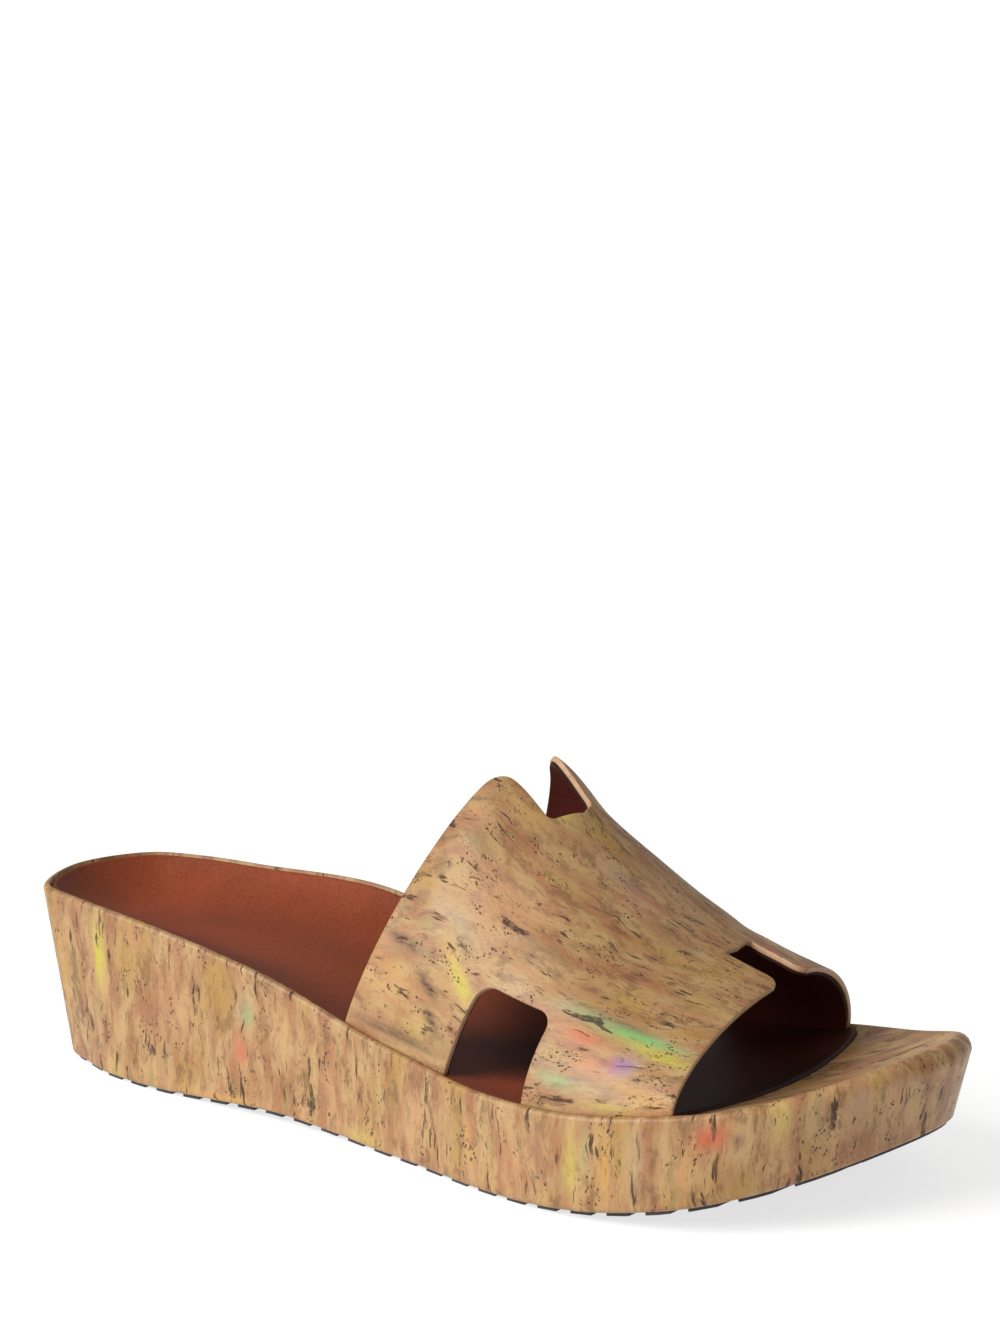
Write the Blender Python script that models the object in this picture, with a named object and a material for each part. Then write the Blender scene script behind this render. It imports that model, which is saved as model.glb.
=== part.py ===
"""A slip-on sandal: one notched band over a cork-wrapped platform wedge, made for the right foot.

Metres, +Z up, +X to the toe, +Y to the wearer's left (the big-toe side of a right shoe). The origin
lies on the floor, under the middle of the sole's length and width.
"""
import math

import bmesh
import bpy
import numpy as np

# Driving sizes of the sole
LENGTH = 0.2608
BALL_WIDTH = 0.094
HEEL_HEIGHT = 0.0468
PLATFORM = 0.0240
TOE_THICKNESS = 0.0216
ARCH_RISE = 0.0064
TOE_SPRING = 0.0165
WAIST_LIFT = 0.0016
HEEL_TUCK = 0.0068
TOE_TUCK = 0.0046
TOP_RADIUS = 0.0012
TOE_ROUND = 0.0026
BOTTOM_RADIUS = 0.0014

# The rubber outsole, set into the underside of the wedge
OUTSOLE_THICKNESS = 0.0034
OUTSOLE_SETBACK = 0.0016
OUTSOLE_SHOWS = 0.0014
GROOVE_DEPTH = 0.0016
GROOVE_WIDTH = 0.0040
GROOVE_PITCH = 0.0095
GROOVE_START = 0.0200

# The leather insole, set into the top of the wedge
RIM_WIDTH = 0.0016
INSOLE_THICKNESS = 0.0034
INSOLE_DROP = 0.0004
INSOLE_EDGE_RADIUS = 0.0010
INSOLE_FRONT = 0.2220
INSOLE_FRONT_RADIUS = 0.1250
CUP_DEPTH = 0.0075

# The band
WALL = 0.0023
FOOT_TUCK = 0.0026
INSTEP_HEIGHT = 0.0640
CREST_SHIFT = 0.0070
REAR_FOOT_OUTER = 0.1155
REAR_FOOT_INNER = 0.1170
REAR_CREST = 0.1430
FRONT_FOOT_OUTER = 0.2180
FRONT_FOOT_INNER = 0.2110
FRONT_CREST = 0.2185
BLANK_LENGTH = 0.1000
BLANK_HALF = 0.0780
NOTCH_WIDTH = 0.0165
NOTCH_SHIFT = 0.0018
REAR_NOTCH_DEPTH = 0.0195
FRONT_NOTCH_DEPTH = 0.0200
WINDOW_START = 0.0350
WINDOW_WIDTH = 0.0260
WINDOW_LEAN = 0.0030
WINDOW_HEIGHT = 0.0258
WINDOW_RADIUS = 0.0045
TAB_RADIUS = 0.0050
ROOT_RADIUS = 0.0018
FOOT_RADIUS = 0.0008

# Clearance between pieces that lie against each other
GAP = 0.0003

# Fineness of the meshes
STATIONS = 40
ARC_STEPS = 3
BLANK_STRIPS_ALONG = 10
BLANK_STRIPS_ACROSS = 34

# Outline of the sole: place along LENGTH, then the outer and inner half widths as shares of BALL_WIDTH
OUTLINE = (
    # along, outer, inner
    (0.030, 0.240, 0.200),
    (0.080, 0.285, 0.260),
    (0.160, 0.315, 0.292),
    (0.280, 0.335, 0.318),
    (0.400, 0.357, 0.327),
    (0.520, 0.412, 0.362),
    (0.640, 0.492, 0.434),
    (0.740, 0.517, 0.480),
    (0.840, 0.465, 0.476),
    (0.920, 0.335, 0.408),
    (0.975, 0.155, 0.290),
)
HEEL_TIP_SHARE = -0.012
TOE_TIP_SHARE = 0.095

# Height of the sole's rim over the ground line: how far it leaves PLATFORM for HEEL_HEIGHT or for
# TOE_THICKNESS, and how much of ARCH_RISE the inner rim has
RIM = (
    # along, heel, toe, arch
    (0.00, 1.000, 0.00, 0.00),
    (0.15, 0.895, 0.00, 0.25),
    (0.32, 0.620, 0.00, 1.00),
    (0.50, 0.160, 0.00, 0.65),
    (0.65, 0.010, 0.00, 0.15),
    (0.80, 0.000, 0.20, 0.00),
    (0.90, 0.000, 0.85, 0.00),
    (1.00, 0.000, 1.00, 0.00),
)

# The ground line under the sole: shares of WAIST_LIFT and of TOE_SPRING
GROUND = (
    # along, waist, spring
    (0.00, 0.00, 0.000),
    (0.20, 0.00, 0.000),
    (0.26, 0.40, 0.000),
    (0.35, 1.00, 0.000),
    (0.44, 0.40, 0.000),
    (0.50, 0.00, 0.000),
    (0.66, 0.00, 0.000),
    (0.74, 0.00, 0.055),
    (0.82, 0.00, 0.221),
    (0.90, 0.00, 0.498),
    (1.00, 0.00, 1.000),
)

# How far the wall leans in from rim to floor: shares of HEEL_TUCK and of TOE_TUCK
LEAN = (
    # along, heel, toe
    (0.00, 1.00, 0.00),
    (0.04, 0.86, 0.00),
    (0.08, 0.55, 0.00),
    (0.13, 0.12, 0.00),
    (0.18, 0.00, 0.00),
    (0.84, 0.00, 0.00),
    (0.92, 0.00, 0.45),
    (1.00, 0.00, 1.00),
)

# The footbed's hollow as a share of CUP_DEPTH
CUP = (
    # along, depth
    (0.00, 0.70),
    (0.10, 1.00),
    (0.25, 0.92),
    (0.45, 0.50),
    (0.65, 0.30),
    (0.82, 0.26),
    (0.92, 0.16),
    (1.00, 0.02),
)
CUP_SHAPE = 2.6

# The band's crest over the outer rim as a share of INSTEP_HEIGHT, and how full its two sides are
# (2 is an ellipse, 1 a straight slope)
INSTEP = (
    # along, crest, outer, inner
    (0.42, 0.920, 1.62, 2.20),
    (0.50, 1.000, 1.62, 2.20),
    (0.55, 1.015, 1.62, 2.20),
    (0.60, 0.865, 1.66, 2.15),
    (0.65, 0.745, 1.72, 2.08),
    (0.70, 0.610, 1.76, 2.00),
    (0.75, 0.495, 1.74, 1.92),
    (0.80, 0.395, 1.72, 1.88),
    (0.86, 0.290, 1.70, 1.88),
)

# The footbed narrows to a line inside the sole: its ends, as shares of LENGTH
SPINE_HEEL = 0.11
SPINE_TOE = 0.84


def column(table, index):
    """Returns one column of a table as an array."""
    return np.array([row[index] for row in table], dtype=float)


def smooth(table, index, along):
    """Reads a table's column at any place, by a cubic curve that never overshoots its rows."""
    places = column(table, 0)
    values = column(table, index)
    steps = np.diff(places)
    slopes = np.diff(values) / steps
    tangents = np.zeros(len(values))
    for k in range(1, len(values) - 1):
        if slopes[k - 1] * slopes[k] > 0.0:
            tangents[k] = 2.0 * slopes[k - 1] * slopes[k] / (slopes[k - 1] + slopes[k])
    tangents[0] = slopes[0]
    tangents[-1] = slopes[-1]
    along = np.clip(np.asarray(along, dtype=float), places[0], places[-1])
    span = np.clip(np.searchsorted(places, along, side="right") - 1, 0, len(steps) - 1)
    t = (along - places[span]) / steps[span]
    rise = steps[span]
    start = values[span] * (2 * t ** 3 - 3 * t ** 2 + 1) + tangents[span] * rise * (t ** 3 - 2 * t ** 2 + t)
    end = values[span + 1] * (3 * t ** 2 - 2 * t ** 3) + tangents[span + 1] * rise * (t ** 3 - t ** 2)
    return start + end


def closed_curve(points, steps_per_span=24):
    """Draws a smooth closed curve through points (a centripetal Catmull-Rom spline)."""
    points = np.asarray(points, dtype=float)
    count = len(points)
    drawn = []
    for k in range(count):
        before, start, end, after = (points[(k + shift) % count] for shift in (-1, 0, 1, 2))
        knots = [0.0]
        for first, second in ((before, start), (start, end), (end, after)):
            knots.append(knots[-1] + math.sqrt(np.linalg.norm(second - first)))
        for t in np.linspace(knots[1], knots[2], steps_per_span, endpoint=False):
            a1 = before + (start - before) * (t - knots[0]) / (knots[1] - knots[0])
            a2 = start + (end - start) * (t - knots[1]) / (knots[2] - knots[1])
            a3 = end + (after - end) * (t - knots[2]) / (knots[3] - knots[2])
            b1 = a1 + (a2 - a1) * (t - knots[0]) / (knots[2] - knots[0])
            b2 = a2 + (a3 - a2) * (t - knots[1]) / (knots[3] - knots[1])
            drawn.append(b1 + (b2 - b1) * (t - knots[1]) / (knots[2] - knots[1]))
    return np.array(drawn)


def outline_sides():
    """Returns the outer and the inner side of the sole's outline, each running from heel to toe."""
    heel = (0.0, HEEL_TIP_SHARE * BALL_WIDTH)
    toe = (LENGTH, TOE_TIP_SHARE * BALL_WIDTH)
    outer = [(along * LENGTH, -share * BALL_WIDTH) for along, share, _ in OUTLINE]
    inner = [(along * LENGTH, share * BALL_WIDTH) for along, _, share in OUTLINE]
    drawn = closed_curve([heel] + outer + [toe] + inner[::-1])
    heel_at = int(np.argmin(drawn[:, 0]))
    drawn = np.roll(drawn, -heel_at, axis=0)
    toe_at = int(np.argmax(drawn[:, 0]))
    return drawn[:toe_at + 1], np.vstack([drawn[toe_at:], drawn[:1]])[::-1]


OUTER_SIDE, INNER_SIDE = outline_sides()
HEEL_X = OUTER_SIDE[0, 0]
TOE_X = OUTER_SIDE[-1, 0]
MIDDLE_X = (HEEL_X + TOE_X) / 2
MIDDLE_Y = (OUTER_SIDE[:, 1].min() + INNER_SIDE[:, 1].max()) / 2


def side_y(x, inner):
    """Returns the outline's y at x, on the inner or the outer side."""
    side = INNER_SIDE if inner else OUTER_SIDE
    return np.interp(x, side[:, 0], side[:, 1])


def ground_z(x):
    """Returns the height of the sole's ground line at x: flat but for the waist and the toe spring."""
    along = x / LENGTH
    return WAIST_LIFT * smooth(GROUND, 1, along) + TOE_SPRING * smooth(GROUND, 2, along)


def rim_z(x, inner):
    """Returns the height of the sole's rim at x; inner is 1 on the big-toe side and 0 on the other."""
    along = x / LENGTH
    heel = (HEEL_HEIGHT - PLATFORM) * smooth(RIM, 1, along)
    toe = (TOE_THICKNESS - PLATFORM) * smooth(RIM, 2, along)
    spring = TOE_SPRING * smooth(GROUND, 2, along)
    return PLATFORM + heel + toe + spring + ARCH_RISE * smooth(RIM, 3, along) * inner


def lean(x):
    """Returns how far the wall's foot stands in from its rim at x."""
    along = x / LENGTH
    return HEEL_TUCK * smooth(LEAN, 1, along) + TOE_TUCK * smooth(LEAN, 2, along)


class Ring:
    """The sole's outline as a closed ring of points, with what every loft of the sole needs."""

    def __init__(self):
        turn = np.linspace(0.0, math.pi, STATIONS + 1)
        x = HEEL_X + (TOE_X - HEEL_X) * (1 - np.cos(turn)) / 2
        outer = np.column_stack([x, side_y(x, False)])
        inner = np.column_stack([x, side_y(x, True)])
        self.edge = np.vstack([outer, inner[-2:0:-1]])
        self.x = self.edge[:, 0]
        ahead = np.roll(self.edge, -1, axis=0)
        behind = np.roll(self.edge, 1, axis=0)
        tangent = (ahead - behind) / np.linalg.norm(ahead - behind, axis=1)[:, None]
        self.inward = np.column_stack([-tangent[:, 1], tangent[:, 0]])
        middle = (side_y(self.x, False) + side_y(self.x, True)) / 2
        half = (side_y(self.x, True) - side_y(self.x, False)) / 2
        side = (self.edge[:, 1] - middle) / np.maximum(half, BALL_WIDTH / 40)
        self.inner = np.clip(side, -1.0, 1.0) * 0.5 + 0.5
        self.rim = rim_z(self.x, self.inner)
        self.ground = ground_z(self.x)
        self.lean = lean(self.x)
        self.spine_x = np.clip(self.x, SPINE_HEEL * LENGTH, SPINE_TOE * LENGTH)
        self.spine_y = (side_y(self.spine_x, False) + side_y(self.spine_x, True)) / 2

    def inset(self, distance, height):
        """Returns the ring moved in by a distance, at a height."""
        plan = self.edge + self.inward * np.broadcast_to(distance, self.x.shape)[:, None]
        return np.column_stack([plan, np.broadcast_to(height, self.x.shape)])

    def toward_spine(self, ring, share):
        """Returns the plan of a ring drawn in to the footbed's middle line; a share of 0 is that line."""
        spine = np.column_stack([self.spine_x, self.spine_y])
        return spine + (ring[:, :2] - spine) * share

    def footbed(self, ring, share, drop):
        """Returns a ring of the hollow footbed, between its edge (share 1) and its middle line."""
        plan = self.toward_spine(ring, share)
        middle = rim_z(self.spine_x, 0.5) - CUP_DEPTH * smooth(CUP, 1, self.spine_x / LENGTH)
        height = middle + (ring[:, 2] + drop - middle) * share ** CUP_SHAPE
        return np.column_stack([plan, height - drop])

    def level(self, ring, share, lift):
        """Returns a ring that follows the ground line, drawn in to the middle line."""
        plan = self.toward_spine(ring, share)
        return np.column_stack([plan, ground_z(plan[:, 0]) + lift])


RING = Ring()
FOOTBED_SHARES = (0.86, 0.66, 0.44, 0.22, 0.0)
UNDERSIDE_SHARES = (0.75, 0.5, 0.25, 0.0)


def mesh_object(name, points, faces, collection):
    """Makes an object from points and faces, moved so that the origin is under the sole's middle."""
    moved = np.asarray(points, dtype=float) - np.array([MIDDLE_X, MIDDLE_Y, 0.0])
    mesh = bpy.data.meshes.new(name)
    mesh.from_pydata([tuple(point) for point in moved], [], faces)
    shape = bmesh.new()
    shape.from_mesh(mesh)
    bmesh.ops.remove_doubles(shape, verts=shape.verts, dist=1e-6)
    bmesh.ops.recalc_face_normals(shape, faces=shape.faces)
    shape.to_mesh(mesh)
    shape.free()
    thing = bpy.data.objects.new(name, mesh)
    collection.objects.link(thing)
    return thing


def loft(name, rings, collection):
    """Makes a closed solid from a stack of rings whose first and last are drawn in to a line."""
    count = len(rings[0])
    faces = []
    for level in range(len(rings) - 1):
        for k in range(count):
            following = (k + 1) % count
            here = level * count
            above = here + count
            faces.append((here + k, here + following, above + following, above + k))
    return mesh_object(name, np.vstack(rings), faces, collection)


def arc(radius, start_turn, end_turn):
    """Returns the points of a rounded edge as (in, up) distances from its centre."""
    turns = np.linspace(start_turn, end_turn, ARC_STEPS + 1)
    return [(radius * math.cos(turn), radius * math.sin(turn)) for turn in turns]


def wedge_body(collection):
    """Lofts the wedge: recessed underside, leaning wall, rounded rim and hollow footbed."""
    recess = RING.inset(RING.lean + OUTSOLE_SETBACK - GAP, RING.ground + OUTSOLE_THICKNESS + GAP)
    rings = [RING.level(recess, share, OUTSOLE_THICKNESS + GAP) for share in UNDERSIDE_SHARES[::-1]]
    rings.append(recess)
    rings.append(RING.inset(RING.lean + OUTSOLE_SETBACK - GAP, RING.ground + OUTSOLE_SHOWS))
    for side, up in arc(BOTTOM_RADIUS, -math.pi / 2, 0.0):
        away = RING.lean + BOTTOM_RADIUS - side
        rings.append(RING.inset(away, RING.ground + OUTSOLE_SHOWS + BOTTOM_RADIUS + up))
    rings.append(RING.inset(RING.lean / 2, (RING.rim + RING.ground) / 2))
    top_radius = TOP_RADIUS + TOE_ROUND * np.clip(RING.lean / TOE_TUCK, 0, 1) * (RING.x > LENGTH / 2)
    for side, up in arc(1.0, 0.0, math.pi / 2):
        rings.append(RING.inset(top_radius * (1 - side), RING.rim - top_radius * (1 - up)))
    edge = rings[-1]
    rings += [RING.footbed(edge, share, 0.0) for share in FOOTBED_SHARES]
    return loft("wedge", rings, collection)


def pad(name, collection, grow, top_lift):
    """Lofts the full-length pad that the insole, and its place in the wedge, are cut from."""
    inset = RIM_WIDTH + GAP - grow
    under = INSOLE_DROP + INSOLE_THICKNESS + grow
    top = RING.rim - INSOLE_DROP + top_lift
    bottom = RING.inset(inset, RING.rim - under)
    rings = [RING.footbed(bottom, share, under) for share in FOOTBED_SHARES[::-1]]
    rings.append(bottom)
    for side, up in arc(INSOLE_EDGE_RADIUS, 0.0, math.pi / 2):
        rings.append(RING.inset(inset + INSOLE_EDGE_RADIUS - side, top - INSOLE_EDGE_RADIUS + up))
    rings += [RING.footbed(rings[-1], share, INSOLE_DROP - top_lift) for share in FOOTBED_SHARES]
    return loft(name, rings, collection)


def front_disc(name, collection, grow):
    """Makes the upright disc whose front arc is the insole's front edge."""
    radius = INSOLE_FRONT_RADIUS + grow
    bpy.ops.mesh.primitive_cylinder_add(vertices=120, radius=radius, depth=HEEL_HEIGHT * 4)
    disc = bpy.context.object
    disc.name = name
    disc.location = (INSOLE_FRONT - INSOLE_FRONT_RADIUS - MIDDLE_X, -MIDDLE_Y, 0.0)
    for holder in disc.users_collection:
        holder.objects.unlink(disc)
    collection.objects.link(disc)
    return disc


def section(x, share):
    """Returns (y, z) on the band's outer surface at x; share runs from -1 (outer foot) to 1 (inner foot)."""
    along = x / LENGTH
    inner = share > 0
    foot_y = side_y(x, inner) + (-1 if inner else 1) * (RIM_WIDTH + GAP)
    foot_z = rim_z(x, 1.0 if inner else 0.0)
    crest_z = rim_z(x, 0.0) + INSTEP_HEIGHT * smooth(INSTEP, 1, along)
    fullness = smooth(INSTEP, 3 if inner else 2, along)
    turn = np.linspace(0.0, math.pi / 2, 49)
    y = CREST_SHIFT + (foot_y - CREST_SHIFT) * np.sin(turn) ** (2 / fullness)
    z = foot_z + (crest_z - foot_z) * np.cos(turn) ** (2 / fullness)
    y = np.append(y, foot_y)
    z = np.append(z, foot_z - FOOT_TUCK)
    run = np.append(0.0, np.cumsum(np.hypot(np.diff(y), np.diff(z))))
    place = abs(share) * run[-1]
    below = max(place - run[-1], 0.0)
    return np.interp(place, run, y), np.interp(place, run, z) - below


def band_point(along, across):
    """Wraps a point of the flat blank over the last, onto the band's outer surface."""
    share = across / BLANK_HALF
    reach = max(1 - abs(share), 0.0)
    rear_foot = REAR_FOOT_INNER if share > 0 else REAR_FOOT_OUTER
    front_foot = FRONT_FOOT_INNER if share > 0 else FRONT_FOOT_OUTER
    rear = rear_foot + (REAR_CREST - rear_foot) * reach
    front = front_foot + (FRONT_CREST - front_foot) * reach
    x = rear + (front - rear) * along / BLANK_LENGTH
    y, z = section(x, share)
    return np.array([x, y, z])


def lasted(along, across, depth):
    """Returns the point that lies a depth under the band's outer surface."""
    step = BLANK_LENGTH / 200
    here = band_point(along, across)
    forward = band_point(along + step, across) - band_point(along - step, across)
    sideways = band_point(along, across + step) - band_point(along, across - step)
    normal = np.cross(forward, sideways)
    return here - normal / np.linalg.norm(normal) * depth


def blank_corners():
    """Returns the flat blank's corners, anticlockwise, as (along, across, corner radius)."""
    window_top = BLANK_HALF - WINDOW_HEIGHT
    window_end = WINDOW_START + WINDOW_WIDTH
    front_root = BLANK_LENGTH - FRONT_NOTCH_DEPTH
    halves = []
    for side in (-1, 1):
        notch = NOTCH_SHIFT + side * NOTCH_WIDTH / 2
        halves.append([
            (REAR_NOTCH_DEPTH, notch, ROOT_RADIUS),
            (0.0, notch, TAB_RADIUS),
            (0.0, side * BLANK_HALF, FOOT_RADIUS),
            (WINDOW_START, side * BLANK_HALF, FOOT_RADIUS),
            (WINDOW_START + WINDOW_LEAN, side * window_top, WINDOW_RADIUS),
            (window_end, side * window_top, WINDOW_RADIUS),
            (window_end, side * BLANK_HALF, FOOT_RADIUS),
            (BLANK_LENGTH, side * BLANK_HALF, FOOT_RADIUS),
            (BLANK_LENGTH, notch, TAB_RADIUS),
            (front_root, notch, ROOT_RADIUS),
        ])
    return halves[0] + halves[1][::-1]


def grown(corners, distance):
    """Moves each side of an anticlockwise outline outwards by a distance."""
    count = len(corners)
    moved = []
    for k in range(count):
        before, here, after = (np.array(corners[(k + shift) % count][:2]) for shift in (-1, 0, 1))
        first = (here - before) / np.linalg.norm(here - before)
        second = (after - here) / np.linalg.norm(after - here)
        out = np.array([first[1] + second[1], -first[0] - second[0]])
        moved.append((*(here + out * distance), corners[k][2]))
    return moved


def rounded(corners):
    """Returns an outline's points with each corner turned into an arc of its radius."""
    count = len(corners)
    drawn = []
    for k in range(count):
        before, here, after = (np.array(corners[(k + shift) % count][:2]) for shift in (-1, 0, 1))
        radius = corners[k][2]
        first = (before - here) / np.linalg.norm(before - here)
        second = (after - here) / np.linalg.norm(after - here)
        centre = here + (first + second) * radius
        start = -second * radius
        end = -first * radius
        steps = 2 * ARC_STEPS
        for turn in np.linspace(0.0, math.pi / 2, steps + 1):
            drawn.append(centre + start * math.cos(turn) + end * math.sin(turn))
    return drawn


def band(name, collection, grow):
    """Makes the band: a flat blank is drawn, cut into strips so that it bends, and lasted."""
    curve = bpy.data.curves.new(name + "_blank", "CURVE")
    curve.dimensions = "2D"
    curve.fill_mode = "BOTH"
    curve.extrude = WALL / 2 + grow
    spline = curve.splines.new("POLY")
    outline = rounded(grown(blank_corners(), grow))
    spline.points.add(len(outline) - 1)
    for point, (along, across) in zip(spline.points, outline):
        point.co = (along, across, 0.0, 1.0)
    spline.use_cyclic_u = True
    flat = bpy.data.objects.new(name + "_blank", curve)
    collection.objects.link(flat)
    bpy.context.view_layer.update()
    evaluated = flat.evaluated_get(bpy.context.evaluated_depsgraph_get())
    mesh = bpy.data.meshes.new_from_object(evaluated)
    bpy.data.objects.remove(flat)
    bpy.data.curves.remove(curve)
    mesh.name = name
    shape = bmesh.new()
    shape.from_mesh(mesh)
    bmesh.ops.remove_doubles(shape, verts=shape.verts, dist=1e-6)
    bmesh.ops.dissolve_limit(shape, angle_limit=math.radians(1), verts=shape.verts, edges=shape.edges)
    cuts = [((along, 0.0, 0.0), (1.0, 0.0, 0.0))
            for along in np.linspace(0.0, BLANK_LENGTH, BLANK_STRIPS_ALONG + 1)[1:-1]]
    cuts += [((0.0, across, 0.0), (0.0, 1.0, 0.0))
             for across in np.linspace(-BLANK_HALF, BLANK_HALF, BLANK_STRIPS_ACROSS + 1)[1:-1]]
    for place, normal in cuts:
        everything = shape.verts[:] + shape.edges[:] + shape.faces[:]
        bmesh.ops.bisect_plane(shape, geom=everything, dist=1e-7, plane_co=place, plane_no=normal)
    bmesh.ops.triangulate(shape, faces=shape.faces)
    for vertex in shape.verts:
        along, across, height = vertex.co
        vertex.co = lasted(along, across, WALL / 2 - height) - np.array([MIDDLE_X, MIDDLE_Y, 0.0])
    bmesh.ops.recalc_face_normals(shape, faces=shape.faces)
    shape.to_mesh(mesh)
    shape.free()
    thing = bpy.data.objects.new(name, mesh)
    collection.objects.link(thing)
    return thing


def grooves(collection):
    """Makes the cutter for the grooves across the outsole: a row of bars along the ground line."""
    points = []
    faces = []
    count = int((TOE_X - GROOVE_START) / GROOVE_PITCH)
    for k in range(count):
        x = GROOVE_START + k * GROOVE_PITCH
        left = x - GROOVE_WIDTH / 2
        right = x + GROOVE_WIDTH / 2
        slope = (ground_z(right) - ground_z(left)) / GROOVE_WIDTH
        along = np.array([1.0, slope]) / math.hypot(1.0, slope)
        up = np.array([-along[1], along[0]])
        middle = np.array([x, ground_z(x)])
        corners = []
        for reach, rise in ((-1, -2.0), (1, -2.0), (1, 1.0), (-1, 1.0)):
            corners.append(middle + along * reach * GROOVE_WIDTH / 2 + up * rise * GROOVE_DEPTH)
        first = len(points)
        for y in (-BALL_WIDTH, BALL_WIDTH):
            points += [(corner[0], y, corner[1]) for corner in corners]
        near = [first + n for n in range(4)]
        far = [first + 4 + n for n in range(4)]
        faces.append(near)
        faces.append(far[::-1])
        for n in range(4):
            following = (n + 1) % 4
            faces.append((near[following], near[n], far[n], far[following]))
    return mesh_object("grooves", points, faces, collection)


def outsole_body(collection):
    """Lofts the outsole, a plate that follows the ground line."""
    away = RING.lean + OUTSOLE_SETBACK
    bottom = RING.inset(away, RING.ground)
    top = RING.inset(away, RING.ground + OUTSOLE_THICKNESS)
    rings = [RING.level(bottom, share, 0.0) for share in UNDERSIDE_SHARES[::-1]]
    rings += [bottom, top]
    rings += [RING.level(top, share, OUTSOLE_THICKNESS) for share in UNDERSIDE_SHARES]
    return loft("outsole", rings, collection)


def cut(thing, cutter, operation="DIFFERENCE"):
    """Adds an exact Boolean with a cutter to an object."""
    modifier = thing.modifiers.new(cutter.name, "BOOLEAN")
    modifier.operation = operation
    modifier.object = cutter
    modifier.solver = "EXACT"


def as_cutter(thing):
    """Marks an object as a cutter: seen as wires, never rendered."""
    thing.hide_render = True
    thing.display_type = "WIRE"
    return thing


def finish(thing, color, roughness):
    """Gives an object its own material and smooth shading."""
    material = bpy.data.materials.new(thing.name)
    material.use_nodes = True
    shader = material.node_tree.nodes["Principled BSDF"]
    shader.inputs["Base Color"].default_value = (*color, 1.0)
    shader.inputs["Roughness"].default_value = roughness
    shader.inputs["Metallic"].default_value = 0.0
    thing.data.materials.clear()
    thing.data.materials.append(material)
    thing.data.shade_smooth()
    thing.data.set_sharp_from_angle(angle=math.radians(35))


def new_collection(name):
    """Adds a collection to the scene."""
    collection = bpy.data.collections.new(name)
    bpy.context.scene.collection.children.link(collection)
    return collection


def main():
    """Builds the sandal's pieces."""
    for thing in list(bpy.data.objects):
        bpy.data.objects.remove(thing, do_unlink=True)
    parts = new_collection("slip_on_sandal")
    cutters = new_collection("cutters")

    upper = band("upper", parts, 0.0)
    pocket = as_cutter(band("band_pocket", cutters, GAP))

    outsole = outsole_body(parts)
    cut(outsole, as_cutter(grooves(cutters)))

    insole = pad("insole", parts, 0.0, 0.0)
    cut(insole, as_cutter(front_disc("insole_front", cutters, 0.0)), "INTERSECT")
    cut(insole, pocket)

    tray = as_cutter(pad("tray", cutters, GAP, HEEL_HEIGHT))
    cut(tray, as_cutter(front_disc("tray_front", cutters, GAP)), "INTERSECT")
    wedge = wedge_body(parts)
    cut(wedge, tray)
    cut(wedge, pocket)

    finish(outsole, (0.030, 0.028, 0.027), 0.75)
    finish(wedge, (0.540, 0.310, 0.160), 0.62)
    finish(insole, (0.270, 0.085, 0.045), 0.50)
    finish(upper, (0.520, 0.300, 0.155), 0.60)


main()
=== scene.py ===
"""The dressed model of a slip-on sandal: cork-wrapped wedge, leather footbed and one notched band."""

import logging
import math
from collections.abc import Iterator
from contextlib import contextmanager
from dataclasses import dataclass
from enum import Enum
from typing import Any

import bmesh
import bpy
import numpy as np
from mathutils import Matrix, Vector

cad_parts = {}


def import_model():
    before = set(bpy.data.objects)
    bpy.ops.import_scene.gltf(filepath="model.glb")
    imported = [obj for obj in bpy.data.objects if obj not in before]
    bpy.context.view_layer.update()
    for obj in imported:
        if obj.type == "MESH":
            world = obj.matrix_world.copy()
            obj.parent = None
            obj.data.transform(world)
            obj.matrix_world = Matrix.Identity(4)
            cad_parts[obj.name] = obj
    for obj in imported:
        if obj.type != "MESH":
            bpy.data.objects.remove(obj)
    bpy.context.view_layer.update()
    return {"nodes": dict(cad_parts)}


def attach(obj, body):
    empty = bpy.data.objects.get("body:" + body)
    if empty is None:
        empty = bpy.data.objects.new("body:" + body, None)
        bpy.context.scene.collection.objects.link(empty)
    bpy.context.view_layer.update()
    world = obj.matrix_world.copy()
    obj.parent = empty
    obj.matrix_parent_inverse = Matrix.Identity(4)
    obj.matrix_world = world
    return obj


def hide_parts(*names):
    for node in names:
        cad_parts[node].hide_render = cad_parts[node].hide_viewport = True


LOG = logging.getLogger("sandal")
MM = 0.001
# Points nearer than MERGE are one point; CHUNK points at a time are compared with a whole outline
MERGE = 1e-6
CHUNK = 2000
Colour = tuple[float, float, float, float]


def srgb(red: float, green: float, blue: float) -> Colour:
    """Returns a display colour of 0 to 255 as the linear colour that shaders take."""
    shares = [value / 255.0 for value in (red, green, blue)]
    linear = [s / 12.92 if s <= 0.04045 else ((s + 0.055) / 1.055) ** 2.4 for s in shares]
    return (linear[0], linear[1], linear[2], 1.0)


def eased(low: float, high: float, value: np.ndarray) -> np.ndarray:
    """Returns a soft step from 0 at low to 1 at high."""
    share = np.clip((value - low) / (high - low), 0.0, 1.0)
    return share * share * (3.0 - 2.0 * share)


def chunks(count: int) -> Iterator[slice]:
    """Yields slices that cover a count in parts small enough to compare with a whole outline."""
    for start in range(0, count, CHUNK):
        yield slice(start, start + CHUNK)


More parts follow.
